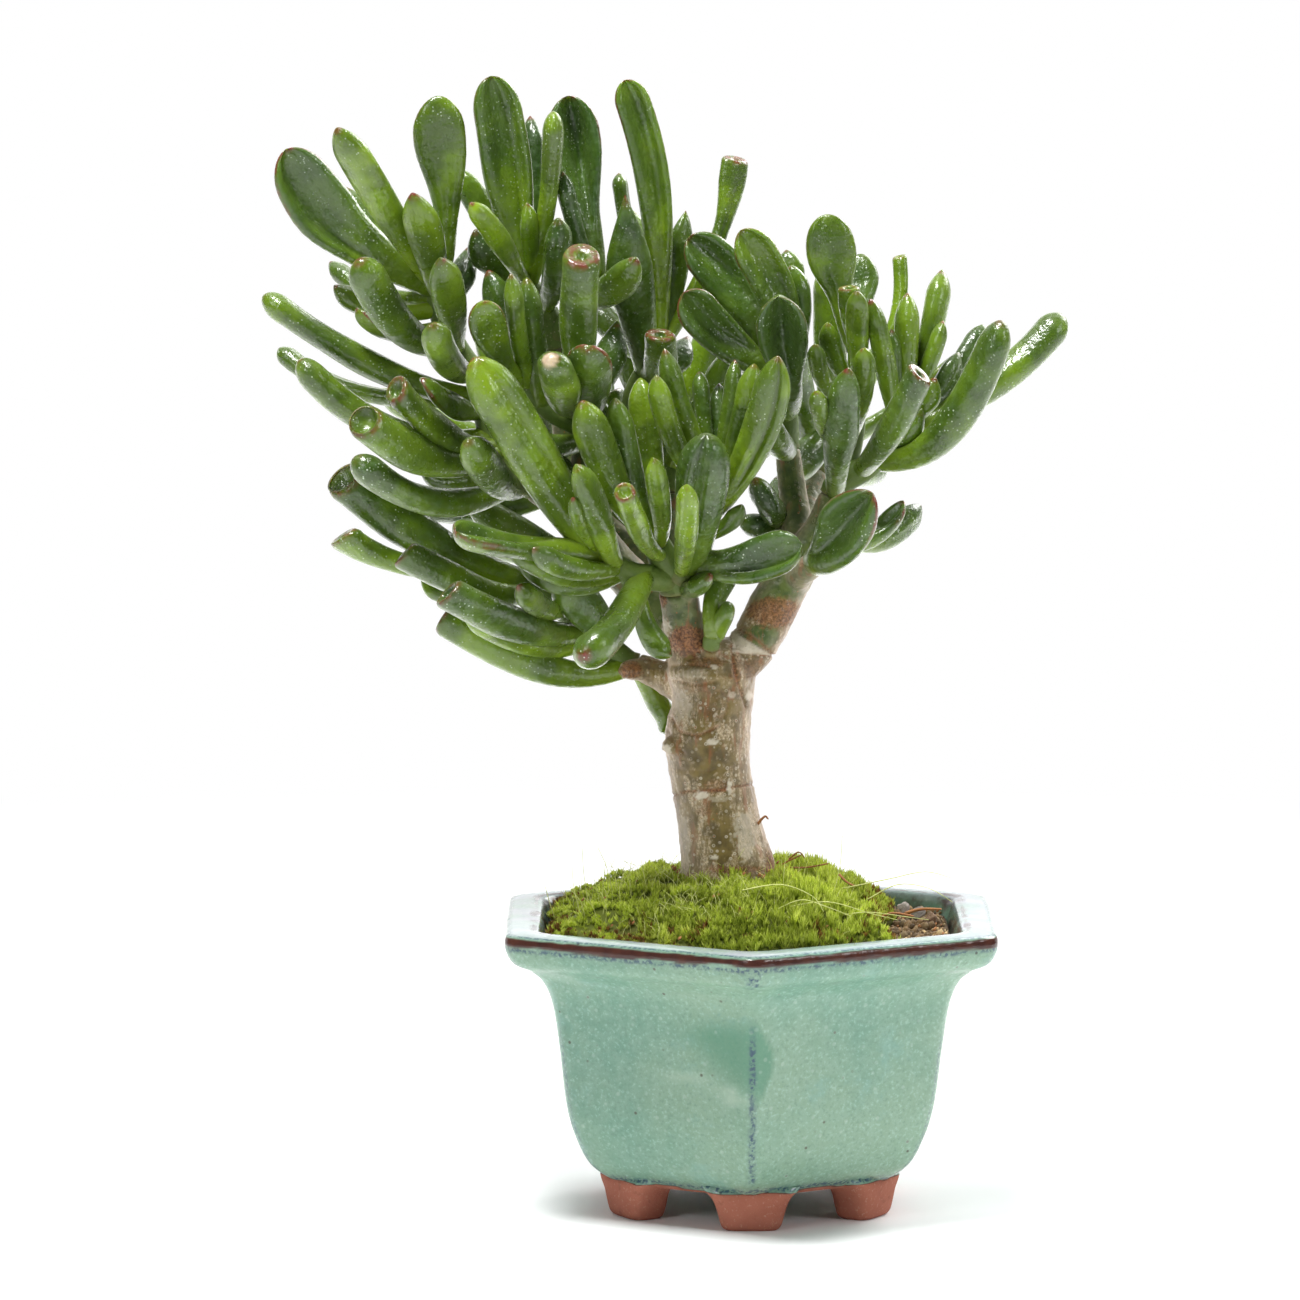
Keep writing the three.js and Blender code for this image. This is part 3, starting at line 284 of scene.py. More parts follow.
SURROUND_LIGHT = 0.12             # the eye still sees the surround as plain white
world = bpy.data.worlds.new("surround")
world.use_nodes = True
world.node_tree.nodes["Background"].inputs["Color"].default_value = (1, 1, 1, 1)
seen = world.node_tree.nodes.new("ShaderNodeLightPath").outputs["Is Camera Ray"]
glow = add_node(world.node_tree, "ShaderNodeMapRange",
                {"Value": seen, "To Min": SURROUND_LIGHT, "To Max": 1.0})
world.node_tree.links.new(glow.outputs[0], world.node_tree.nodes["Background"].inputs["Strength"])
bpy.context.scene.world = world
bpy.context.scene.view_settings.view_transform = "Standard"


# ---------------- pot
# A six-sided stoneware pot with a thick rolled lip on six squat feet, fired in one.
# Its celadon glaze breaks brown over the lip and blue on the corners, and stops short
# of the feet, which stay bare clay.

# Height, distance from the axis to a flat, corner radius: up the outside, over the
# lip and down the inside.
POT_WALL = [
    [9, 34.6, 6], [14, 40.6, 6], [21, 44.2, 6], [30, 46.8, 6], [45, 48.7, 6], [56, 50.4, 6],
    [62, 52.7, 6], [65.2, 56, 6], [67.4, 60, 6], [70.4, 61.9, 6], [73.7, 62.3, 6.4], [75.3, 60.9, 7.5],
    [75.5, 55, 9], [74.2, 53.2, 10], [71.2, 52.3, 10.5], [62, 49.6, 11], [20, 40.2, 9], [14, 34, 8],
]
LIP_EDGE = 10                     # the knot of POT_WALL at the lip's outer top edge
DRAIN_RADIUS = 13
# Height, width round the pot, depth towards the axis.
FOOT = [[0, 13.2, 8.2], [0.4, 14.4, 9.4], [1.4, 15.6, 10.6], [4, 17, 11.6], [6.5, 18.6, 12.2], [8.6, 21, 13],
        [10, 24, 12.4], [11.4, 26, 10]]
FOOT_RING = 33.5                  # from the pot's axis to the middle of a foot
FOOT_SIDES = 32
CORNER_POINTS = 13
FLAT_POINTS = 62
PROFILE_STEPS = 7
FLOOR_UNDERSIDE = 9
# The distance from the lip's edge that the feet and the drain hole count as.
FAR_OUTSIDE = 50
FAR_INSIDE = -200


def to_sheet(points):
    """Across and up on the front sheet of many places at once."""
    reach = 1 + points[:, 1] / -EYE.y
    return EYE.x + (points[:, 0] - EYE.x) / reach, EYE.z + (points[:, 2] - EYE.z) / reach


def smooth_step(q):
    q = np.clip(q, 0, 1)
    return q * q * (3 - 2 * q)


def noise_at(points, scale):
    return np.array([noise.noise(Vector(p) * scale) for p in points])


def spline_weights(t):
    """The shares of four knots in a smooth line, t of the way from the second one."""
    return np.array(((-t + 2 * t * t - t ** 3) / 2, (2 - 5 * t * t + 3 * t ** 3) / 2,
                     (t + 4 * t * t - 3 * t ** 3) / 2, (-t * t + t ** 3) / 2))


def stitch(faces, low, high, count):
    """Faces between two closed rows of points, each row given by its first point."""
    for i in range(count):
        j = (i + 1) % count
        faces.append((low + i, low + j, high + j, high + i))


def hexagon(up, flat, corner):
    """A six-sided outline with rounded corners, one corner facing the viewer."""
    reach = (flat - corner) / math.cos(math.pi / 6)
    corners = []
    for side in range(6):
        bearing = math.radians(60 * side - 90)
        turn = bearing + np.radians(np.linspace(-30, 30, CORNER_POINTS))
        corners.append(np.stack((reach * math.cos(bearing) + corner * np.cos(turn),
                                 reach * math.sin(bearing) + corner * np.sin(turn)), axis=1))
    outline = []
    for side in range(6):
        start, end = corners[side][-1], corners[(side + 1) % 6][0]
        share = np.linspace(0, 1, FLAT_POINTS + 2)[1:-1, None]
        outline += [corners[side], start + (end - start) * share]
    flat_line = np.concatenate(outline)
    return np.column_stack((flat_line, np.full(len(flat_line), up)))


def sampled(rows, steps):
    """Rows of numbers run through by a smooth line, with steps between each two."""
    rows = np.array(rows, float)
    out = []
    for i in range(len(rows) - 1):
        four = rows[[max(i - 1, 0), i, i + 1, min(i + 2, len(rows) - 1)]]
        for t in np.arange(steps) / steps:
            out.append(spline_weights(t) @ four)
    return np.array([*out, rows[-1]])


def drain_ring(up, count):
    turn = 2 * math.pi * np.arange(count) / count - math.pi / 2 - math.pi / 6
    return np.stack((DRAIN_RADIUS * np.cos(turn), DRAIN_RADIUS * np.sin(turn), np.full(count, up)), axis=1)


def glaze_masks(points, lip):
    """Brown lip, blue break, bare clay and pooled glaze. Lip is the distance in
    millimetres over the profile from the lip's edge, plus outwards and down."""
    x, y, z = points.T
    across, up = to_sheet(points)
    low = noise_at(points, 0.09)
    mid = noise_at(points, 0.35)
    fine = noise_at(points, 1.1)
    bearing = np.arctan2(y, x)
    turn = (bearing + math.pi / 2) % (math.pi / 3)
    reach = np.hypot(x, y)
    off_corner = np.minimum(turn, math.pi / 3 - turn) * reach
    at_front = (np.abs(x) < 9) & (y < 0)
    brown = smooth_step((1.35 + 0.5 * low + 0.25 * mid - np.abs(lip - 0.1 - 0.3 * low)) / 0.5)
    blue = 0.75 * smooth_step((0.8 - np.abs(lip + 1.75)) / 0.7)
    blue += 0.85 * smooth_step((1.0 + 0.6 * mid - np.abs(lip - 1.9)) / 1.0) * (lip < 9)
    outside = lip > 2
    line = smooth_step((1.3 - off_corner) / 1.0) * outside
    strength = np.where(at_front, 0.95, 0.5) * smooth_step((up - 4) / 2) * smooth_step((50 - up) / 12)
    blue += line * strength * smooth_step((0.75 + fine * 1.3 + mid * 0.5) / 0.6)
    spot = np.exp(-(off_corner / 1.8) ** 2 - ((z - 69.2) / 2.6) ** 2) * outside
    blue += spot * np.where(at_front, 1.3, 0.5) * smooth_step((0.35 + fine * 1.4) / 0.5)
    bare = smooth_step((10.4 + 0.7 * low + 0.3 * mid - z) / 0.5) * (lip > 0)
    blue += 0.85 * smooth_step((0.9 - np.abs(z - 11 - 0.7 * low - 0.3 * mid)) / 0.6) * (lip > 0)
    # the pool of darker glaze beside the front corner, with a sharp right edge
    right = np.interp(up, (24, 27, 34, 39, 47, 53), (0.8, 4, 6.6, 6.9, 2.5, -2))
    left = np.interp(up, (24, 28, 36, 44, 53), (0, -6, -15, -22, -18))
    pool = smooth_step((right - across) / 1.5) * smooth_step((across - left) / 14 + 0.1)
    pool *= smooth_step((up - 23) / 4) * smooth_step((50 - up) / 7) * (y < 0) * outside
    return np.stack((brown, np.clip(blue, 0, 1), bare, np.clip(pool, 0, 1)), axis=1)


def lip_masks(points, lip):
    """Lavender bloom on top of the lip, the brown inner edge, and the cream patch
    and pale run beside the front corner."""
    across, up = to_sheet(points)
    front = (points[:, 1] < 0) & (lip > 2)
    low = noise_at(points, 0.12)
    fine = noise_at(points, 0.9)
    bloom = smooth_step((-lip - 1.1) / 1.6) * smooth_step((lip + 13) / 4) * (0.72 + 0.6 * low)
    inner = smooth_step((1.0 + 0.8 * low + 0.5 * fine - np.abs(lip + 8.2)) / 0.7)
    inner = np.maximum(inner, smooth_step((-9.2 - lip + fine) / 1.5) * (lip > -60))
    cream = np.exp(-((across + 4.6) / 1.9) ** 2 - ((up - 27.5) / 1.6) ** 2) * front
    drop = np.interp(across, (-26, -14, -4, 0.5), (33.5, 32.6, 28.4, 25.6))
    run = np.exp(-((up - drop) / 1.1) ** 2) * smooth_step((across + 27) / 12) * (across < 1) * front
    pale = np.clip(cream + 0.5 * run, 0, 1)
    return np.stack((np.clip(bloom, 0, 1), inner, pale, np.ones(len(points))), axis=1)


def paint(piece, name, rows):
    """One colour-like row of four masks for each point of a mesh."""
    layer = piece.data.attributes.new(name, "FLOAT_COLOR", "POINT")
    layer.data.foreach_set("color", np.asarray(rows, np.float32).ravel())


def masks_of(tree, name):
    """The four masks of a painted layer: red, green, blue and alpha sockets."""
    layer = add_node(tree, "ShaderNodeAttribute", attribute_name=name)
    parts = add_node(tree, "ShaderNodeSeparateColor", {"Color": layer.outputs["Color"]})
    return (*parts.outputs[:3], layer.outputs["Alpha"])


def bumps(tree, height, strength, distance):
    made = add_node(tree, "ShaderNodeBump", {"Height": height, "Strength": strength, "Distance": distance})
    return made.outputs[0]


def glaze_material():
    material, tree = new_material("celadon_glaze")
    place = place_in(tree)
    brown, blue, bare, pool = masks_of(tree, "glaze")
    bloom, inner, cream, _ = masks_of(tree, "lip")
    cloud = patches(tree, place, (22.0, 4), 0.35, 0.65)
    colour = mix_colour(tree, cloud, (0.145, 0.305, 0.222), (0.220, 0.355, 0.245))
    mottle = patches(tree, place, (330.0, 4, 0.7), 0.35, 0.65)
    colour = mix_colour(tree, times(tree, mottle, 0.36), colour, (0.28, 0.43, 0.33))
    tooth = noise_value(tree, place, 1100.0, 3, 0.6)
    colour = mix_colour(tree, ramp(tree, tooth, 0.52, 0.72, 0, 0.5), colour, (0.11, 0.23, 0.17))
    colour = mix_colour(tree, ramp(tree, tooth, 0.46, 0.3, 0, 0.5), colour, (0.36, 0.56, 0.46))
    pale = patches(tree, place, (60.0, 5, 0.7), 0.55, 0.72, 0, 0.3)
    colour = mix_colour(tree, pale, colour, (0.20, 0.41, 0.37))
    colour = mix_colour(tree, times(tree, pool, 0.75), colour, (0.075, 0.24, 0.145))
    colour = mix_colour(tree, times(tree, cream, 0.7), colour, (0.42, 0.56, 0.44))
    veil = patches(tree, place, (45.0, 4), 0.3, 0.7, 0.35, 0.85)
    colour = mix_colour(tree, times(tree, bloom, veil), colour, (0.46, 0.46, 0.56))
    grains = add_node(tree, "ShaderNodeTexVoronoi", {"Vector": place, "Scale": 420.0})
    which = add_node(tree, "ShaderNodeSeparateColor", {"Color": grains.outputs["Color"]})
    iron = times(tree, ramp(tree, grains.outputs["Distance"], 0.24, 0.1),
                ramp(tree, which.outputs[0], 0.9, 0.94))
    colour = mix_colour(tree, times(tree, iron, 0.8), colour, (0.06, 0.05, 0.03))
    specks = times(tree, ramp(tree, grains.outputs["Distance"], 0.3, 0.15),
                  ramp(tree, which.outputs[1], 0.6, 0.8))
    colour = mix_colour(tree, times(tree, specks, 0.22), colour, (0.5, 0.62, 0.55))
    dotted = patches(tree, place, (1000.0, 3), 0.42, 0.58, 0.2, 1)
    colour = mix_colour(tree, times(tree, blue, dotted), colour, (0.028, 0.06, 0.12))
    rim = grain(tree, place, 300.0, (0.014, 0.008, 0.010), (0.105, 0.034, 0.02), 4)
    colour = mix_colour(tree, brown, colour, rim)
    broken = patches(tree, place, (130.0, 4), 0.35, 0.6, 0.1, 0.9)
    colour = mix_colour(tree, times(tree, inner, broken), colour, (0.075, 0.035, 0.03))
    waves = times(tree, noise_value(tree, place, 60.0, 2), 0.7)
    pits = times(tree, noise_value(tree, place, 420.0, 3), calc(tree, "MULTIPLY_ADD", brown, 1.1, 0.12))
    skin = bumps(tree, calc(tree, "ADD", waves, pits), 0.16, 0.001)
    glazed = add_node(tree, "ShaderNodeBsdfPrincipled", {
        "Base Color": colour, "Roughness": patches(tree, place, (200.0,), 0.3, 0.7, 0.1, 0.2),
        "Normal": skin, "IOR": 1.5})
    sand = noise_value(tree, place, 1100.0, 5, 0.7)
    clay = grain(tree, place, 130.0, (0.33, 0.105, 0.065), (0.47, 0.175, 0.115), 4)
    clay = mix_colour(tree, ramp(tree, sand, 0.56, 0.7, 0, 0.5), clay, (0.62, 0.38, 0.28))
    worn = patches(tree, place, (320.0, 4), 0.6, 0.72, 0, 0.4)
    clay = mix_colour(tree, worn, clay, (0.20, 0.075, 0.045))
    edge = ramp(tree, calc(tree, "ABSOLUTE", calc(tree, "SUBTRACT", bare, 0.6)), 0.1, 0.4, 1, 0)
    clay = mix_colour(tree, edge, clay, (0.10, 0.05, 0.04))
    rough_skin = bumps(tree, sand, 0.5, 0.0004)
    bisque = add_node(tree, "ShaderNodeBsdfPrincipled", {
        "Base Color": clay, "Roughness": 0.85, "Specular IOR Level": 0.25, "Normal": rough_skin})
    both = mix_shader(tree, ramp(tree, bare, 0.4, 0.6), glazed, bisque)
    return finished(material, both)


def pot():
    profile = sampled(POT_WALL, PROFILE_STEPS)
    run = np.concatenate(([0], np.cumsum(np.linalg.norm(np.diff(profile[:, :2], axis=0), axis=1))))
    run = run[LIP_EDGE * PROFILE_STEPS] - run
    rings = [hexagon(*row) for row in profile]
    count = len(rings[0])
    floor_top = POT_WALL[-1][0]
    hole = (floor_top, (floor_top + FLOOR_UNDERSIDE) / 2, FLOOR_UNDERSIDE)
    rings += [drain_ring(up, count) for up in hole]
    lips = [*run, *[FAR_INSIDE] * len(hole)]
    points = np.concatenate(rings)
    lip = np.repeat(lips, count)
    faces = []
    for r in range(len(rings)):
        stitch(faces, r * count, (r + 1) % len(rings) * count, count)
    # the hand-finished wall is never quite true
    wander = noise_at(points, 0.03)
    outwards = points * np.array((1, 1, 0)) / np.linalg.norm(points[:, :2], axis=1)[:, None]
    points += outwards * (0.35 * wander * (lip > -8))[:, None]
    points, lip = list(points), list(lip)
    for bearing in np.radians(60 * np.arange(6) - 90):
        a = 2 * math.pi * (np.arange(FOOT_SIDES) + 0.5) / FOOT_SIDES
        rounded = lambda value: np.sign(value) * np.abs(value) ** 0.55
        first = len(points)
        levels = sampled(FOOT, 4)
        for up, wide, deep in levels:
            out = FOOT_RING + deep / 2 * rounded(np.cos(a))
            side = wide / 2 * rounded(np.sin(a))
            points.extend(np.stack((out * math.cos(bearing) - side * math.sin(bearing),
                                    out * math.sin(bearing) + side * math.cos(bearing),
                                    np.full(FOOT_SIDES, up)), axis=1))
        lip += [FAR_OUTSIDE] * (FOOT_SIDES * len(levels))
        for r in range(len(levels) - 1):
            stitch(faces, first + r * FOOT_SIDES, first + (r + 1) * FOOT_SIDES, FOOT_SIDES)
        faces.append([first + i for i in reversed(range(FOOT_SIDES))])
        faces.append([len(points) - FOOT_SIDES + i for i in range(FOOT_SIDES)])
    points = np.array(points)
    piece = add_mesh("glazed_pot", points, faces, "glaze")
    paint(piece, "glaze", glaze_masks(points, np.array(lip, float)))
    paint(piece, "lip", lip_masks(points, np.array(lip, float)))
    piece.data.materials.append(glaze_material())
    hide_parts("pot")


pot()


# ---------------- drain mesh
# A disc of moulded black plastic mesh lies loose over the drain hole, so that the
# soil stays in the pot while water runs out.

def mesh_plastic():
    material, tree = new_material("drain_mesh_plastic")
    place = place_in(tree)
    strands = [add_node(tree, "ShaderNodeTexWave", {"Vector": place, "Scale": 210.0}, bands_direction=way)
               for way in ("X", "Y")]
    woven = calc(tree, "MAXIMUM", strands[0].outputs["Fac"], strands[1].outputs["Fac"])
    dust = patches(tree, place, (240.0, 5), 0.45, 0.7, 0, 0.5)
    colour = mix_colour(tree, woven, (0.010, 0.010, 0.011), (0.032, 0.033, 0.034))
    colour = mix_colour(tree, dust, colour, (0.12, 0.09, 0.06))
    bump = bumps(tree, woven, 0.8, 0.0006)
    shader = add_node(tree, "ShaderNodeBsdfPrincipled", {
        "Base Color": colour, "Roughness": ramp(tree, dust, 0, 0.5, 0.42, 0.8), "Normal": bump})
    return finished(material, shader)


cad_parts["drain_mesh"].material_slots[0].material = mesh_plastic()


# ---------------- soil
# Dark, gritty potting mix fills the pot to just under its lip. It is pressed in by
# hand, and its grains show on the bare right-hand side.

SOIL_TOP = 71.2
SOIL_EDGE = 51.4                  # from the pot's axis to a flat of the inner wall
MOSS_CENTRE = (-6, 0)
MOSS_WALL = 50.6
BARE_EDGE = 35                    # the moss ends this far right of the axis
# Height, distance from the axis to a flat, corner radius, as for the pot's wall.
SOIL_WALL = [[15, 33, 8], [19, 38.6, 9], [62, 49, 11], [70.5, 51.4, 10.5]]
SOIL_RINGS = (0.985, 0.95, 0.88, 0.8, 0.7, 0.6, 0.5, 0.4, 0.3, 0.2, 0.1)
GRAINS = 2300


def fan(faces, first, count, hub):
    """Faces from a closed row of points to the one point that closes it."""
    for i in range(count):
        faces.append((first + i, first + (i + 1) % count, hub))


def moss_reach(bearing):
    """From the middle of the moss to its edge."""
    reach = math.inf
    for wall in np.radians(60 * np.arange(6)):
        towards = math.cos(bearing - wall)
        if towards > 0:
            reach = min(reach, (MOSS_WALL - MOSS_CENTRE[0] * math.cos(wall)) / towards)
    if math.cos(bearing) > 0.01:
        bare = (BARE_EDGE - MOSS_CENTRE[0] + 2.5 * math.sin(5 * bearing)) / math.cos(bearing)
        reach = min(reach, bare)
    return reach


def moss_top(x, y):
    """Height of the moss, and the share of the way from its middle to its edge."""
    dx, dy = x - MOSS_CENTRE[0], y - MOSS_CENTRE[1]
    bearing, away = math.atan2(dy, dx), math.hypot(dx, dy)
    part = away / moss_reach(bearing)
    top = SOIL_TOP + 2.9 + 12.3 * (1 - min(part, 1) ** 2.6) + 0.7 * math.sin(away * 0.55 + 3 * bearing)
    return top + 1.1 * noise.noise(Vector((x, y, 0)) * 0.16), part


def in_pot(x, y, margin=0.0):
    """Whether a place lies inside the pot's mouth by that margin."""
    walls = np.radians(60 * np.arange(6))
    return (x * np.cos(walls) + y * np.sin(walls)).max() < SOIL_EDGE - margin


def soil_height(x, y):
    rise = 0.8 * noise.noise(Vector((x, y, 4)) * 0.12)
    return SOIL_TOP + rise + 0.5 * noise.noise(Vector((x, y, 9)) * 0.4)


def lump(points, faces, centre, radius, seed, flat=0.8, level=1):
    """A rough stone or crumb: a ball pulled in and out by noise."""
    bm = bmesh.new()
    bmesh.ops.create_icosphere(bm, subdivisions=level, radius=1)
    first = len(points)
    turn = Vector((seed * 1.7, seed * 0.9, seed * 2.3))
    spin = turn.normalized().to_track_quat("X", "Z")
    for vert in bm.verts:
        pull = 1 + 0.42 * noise.noise(vert.co * 1.1 + turn) + 0.16 * noise.noise(vert.co * 3 + turn)
        spot = spin @ (Vector((vert.co.x, vert.co.y * 0.85, vert.co.z * flat)) * pull * radius)
        points.append(np.array(centre) + np.array(spot))
    for face in bm.faces:
        faces.append([first + vert.index for vert in face.verts])
    bm.free()


def earth_material(name, dark, light, speck, share):
    material, tree = new_material(name)
    place = place_in(tree)
    shade, tint, _, _ = masks_of(tree, "earth")
    colour = grain(tree, place, 380.0, dark, light, 4)
    colour = mix_colour(tree, ramp(tree, tint, 0.5, 1, 0, 0.8), colour, speck)
    specks = patches(tree, place, (900.0, 3), 0.6, 0.7, 0, share)
    colour = mix_colour(tree, specks, colour, speck)
    value = add_node(tree, "ShaderNodeHueSaturation",
                     {"Color": colour, "Value": ramp(tree, shade, 0, 1, 0.5, 1.5)})
    bump = bumps(tree, noise_value(tree, place, 1300.0, 5), 0.7, 0.0005)
    shader = add_node(tree, "ShaderNodeBsdfPrincipled", {
        "Base Color": value.outputs[0], "Roughness": 0.85, "Normal": bump})
    return finished(material, shader)


def soil():
    draw = random.Random(5)
    points, faces, masks = [], [], []
    rows = sampled(SOIL_WALL, 3)
    for up, flat, corner in rows:
        outline = hexagon(up, flat, corner)[::6]
        points.extend(outline)
    count = len(points) // len(rows)
    for r in range(len(rows) - 1):
        stitch(faces, r * count, (r + 1) * count, count)
    faces.append(list(reversed(range(count))))
    ring = np.array(points[-count:])
    for share in SOIL_RINGS:
        first = len(points)
        for x, y, _ in ring * np.array((share, share, 0)):
            points.append(np.array((x, y, soil_height(x, y))))
        stitch(faces, first - count, first, count)
    points.append(np.array((0, 0, soil_height(0, 0))))
    fan(faces, first, count, len(points) - 1)
    masks += [(0.4, 0, 0, 1)] * len(points)
    made = 0
    while made < GRAINS:
        x, y = draw.uniform(-60, 60), draw.uniform(-60, 60)
        radius = min(0.28 + draw.expovariate(2.4), 1.5)
        covered = moss_top(x, y)[1] < 0.86
        if covered or not in_pot(x, y, radius + 0.3):
            continue
        centre = (x, y, soil_height(x, y) + radius * 0.35)
        lump(points, faces, centre, radius, made * 0.37, draw.uniform(0.45, 0.9))
        masks += [(draw.random(), draw.random() ** 2, 0, 1)] * (len(points) - len(masks))
        made += 1
    piece = add_mesh("potting_soil", points, faces, "soil")
    paint(piece, "earth", masks)
    piece.data.materials.append(earth_material("potting_mix", (0.05, 0.028, 0.010), (0.26, 0.16, 0.065),
                                               (0.55, 0.40, 0.20), 0.4))
    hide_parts("soil")


soil()


# ---------------- loose stones
# A white, a grey and a brown stone, each worn round by water, lie loose on the bare
# soil at the pot's right.

for name, radius, flat, dark, light, speck in (
        ("white", 1.9, 0.7, (0.42, 0.36, 0.32), (0.66, 0.60, 0.55), (0.30, 0.22, 0.18)),
        ("grey", 2.3, 0.65, (0.20, 0.18, 0.16), (0.38, 0.34, 0.30), (0.5, 0.46, 0.4)),
        ("brown", 2.1, 0.7, (0.14, 0.085, 0.05), (0.30, 0.19, 0.11), (0.42, 0.3, 0.2))):
    stone_points, stone_faces = [], []
    low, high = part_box(f"pebble_{name}")
    middle = (np.array((low + high) / 2) - np.array(POT_AXIS)) / MM
    lump(stone_points, stone_faces, middle, radius * 0.98, radius * 3, flat, 4)
    stone = add_mesh(f"stone_{name}", stone_points, stone_faces, f"pebble_{name}")
    paint(stone, "earth", [(0.5, 0, 0, 1)] * len(stone_points))
    stone.data.materials.append(earth_material(f"stone_{name}", dark, light, speck, 0.3))
    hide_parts(f"pebble_{name}")


# ---------------- trunk
# The trunk and its branches are one piece of living wood under smooth grey-olive bark,
# swollen at the rings where leaves and twigs once grew. It is rooted in the soil.

def on_sheet(across, up, depth):
    reach = 1 + depth / -EYE.y
    return np.array((EYE.x + (across - EYE.x) * reach, depth, EYE.z + (up - EYE.z) * reach))


# Each branch is a list of [across, up, depth, radius], as the frame's wood is. Across
# and up are the viewer's, and a depth (minus is nearer) moves a place along the sight.
WOOD = {
  "trunk": [
    [-5, 44, 0, 8.5], [-5, 62, 0, 11.5], [-5.6, 80, 0, 14], [-5.8, 88, 0, 12.2], [-6.7, 93, 0, 11.2],
    [-8, 100, 0, 10.6], [-9.1, 106, 0, 10.5], [-9.9, 110, 0, 10.4], [-10.6, 116, 0, 10.7],
    [-10.7, 122, 0, 11], [-9.8, 128, 0, 10.3], [-9.4, 133, 0, 10.5], [-9.6, 138, 0, 11.6],
    [-9, 141.5, 0, 10], [-8.6, 144.5, 0, 6.5], [-8.6, 146.5, 0, 3],
  ],
  "front": [
    [-12, 129, 0, 6], [-14.6, 138, -1, 6.3], [-16.2, 146, -3, 5],
    [-17.2, 153, -4, 4.9], [-18.5, 159, -6, 4.8],
  ],
  "right": [
    [-7, 131, 0, 4], [-3.2, 138.5, 0.5, 4.8], [-0.4, 143, 1, 5.9], [3.6, 150, 2.5, 6.4],
    [7.2, 157.5, 4, 6.3], [12.6, 166, 6, 5.6], [18.5, 175, 7, 4.6], [21.5, 183, 6, 4],
  ],
  "right_inner": [[13, 164, 6, 4], [12, 175, 13, 3.9], [10.5, 186, 17, 3.6], [9.5, 195, 17, 3.2]],
  "right_low": [[11, 161, 4, 4], [14, 164, -3, 3.4], [17, 166.5, -7, 3]],
  "right_back": [[11, 161, 5, 4], [8, 168, 13, 3.4], [7.5, 174, 17, 3]],
  "crown": [
    [-10, 129, 3, 6.5], [-15.5, 143, 8, 6.2], [-24, 155, 13, 5.5],
    [-36, 168, 14, 5.1], [-43, 179, 13, 4.8],
  ],
  "fork": [[-10.5, 139, -5, 3.2], [-10, 144, -7.5, 2.2]],
  "left": [[-37, 170, 14, 4], [-47, 179, 10, 3.7], [-55, 185, 7, 3.4]],
  "upper_left": [[-42, 177, 13, 4.2], [-52, 192, 17, 3.9], [-62, 205, 17, 3.6], [-69, 213, 16, 3.3]],
  "centre": [[-42, 177, 13, 4], [-42.5, 188, 5, 3.7], [-42, 197, 1, 3.4]],
  "top": [[-43, 179, 13, 4.6], [-46, 195, 18, 4], [-48, 210, 18, 3.7], [-50, 221, 16, 3.4]],
  "top_right": [[-41, 176, 14, 4], [-35, 189, 20, 3.7], [-31, 201, 22, 3.4]],
  "low_left": [[-14, 132, 3, 5], [-23, 137, 6, 3.9], [-29, 139.5, 7, 3.3]],
  "back": [
    [-10, 130, 4, 6.5], [-15, 145, 15, 5.5], [-20, 160, 27, 4.9],
    [-21, 173, 34, 4.4], [-21, 183, 38, 4],
  ],
  "back_left": [[-20, 162, 28, 4], [-32, 171, 38, 3.7], [-45, 182, 43, 3.3]],
  "back_right": [[11, 162, 5, 4.2], [12, 171, 18, 3.8], [14.5, 180, 30, 3.5], [17, 188, 39, 3.2]],
  "back_low": [[-19, 157, 25, 3.8], [-26, 160, 33, 3.4], [-31, 163, 38, 3]],
}
BARK_GRAIN = 0.42                 # spacing of the fine surface's points
BURIED = 66                       # the fine wood starts under the moss
# The stub of a lost twig on the lower left branch, and two small nubs.
STUBS = (
    [[-27, 138.5, 5, 3.1], [-31, 138.6, 3, 2.7], [-32.6, 138.8, 2, 1.6]],
    [[-18, 119, -6, 3], [-21.4, 119.3, -6, 2], [-22.2, 119.5, -6, 1]],
    [[-16.6, 157.5, -9, 2], [-14.8, 159.6, -10, 1.5], [-14.1, 160.6, -10, 0.8]],
)
DEPTH_WAY = np.array((0.0, 1.0, 0.0))


def unit(vector):
    return vector / np.linalg.norm(vector)


def smooth_line(knots):
    """A smooth line through [place, radius] knots: along, in knots, gives place,
    heading and radius."""
    places = np.array([knot[0] for knot in knots])
    radii = [knot[1] for knot in knots]
    last = len(knots) - 1

    def line(along):
        i = min(int(along), last - 1)
        t = along - i
        four = places[[max(i - 1, 0), i, i + 1, min(i + 2, last)]]
        spot = spline_weights(t) @ four
        heading = np.array((
            (-1 + 4 * t - 3 * t * t) / 2, (-10 * t + 9 * t * t) / 2,
            (1 + 8 * t - 9 * t * t) / 2, (-2 * t + 3 * t * t) / 2,
        )) @ four
        return spot, unit(heading), radii[i] + (radii[i + 1] - radii[i]) * t

    return line


def knots_of(rows):
    return [(on_sheet(across, up, depth), radius) for across, up, depth, radius in rows]


def tube_rings(knots, steps, sides, swell=None):
    """Rings round a smooth line; swell(along) changes the radius, in parts of it."""
    line = smooth_line(knots)
    a = 2 * math.pi * np.arange(sides) / sides
    rings = []
    for step in range((len(knots) - 1) * steps + 1):
        along = step / steps
        spot, heading, radius = line(along)
        across = unit(np.cross(DEPTH_WAY, heading))
        over = np.cross(heading, across)
        reach = radius * (1 if swell is None else swell(along))
        rings.append((spot + reach * (across * np.cos(a)[:, None] + over * np.sin(a)[:, None]), along))
    return rings, line(len(knots) - 1)


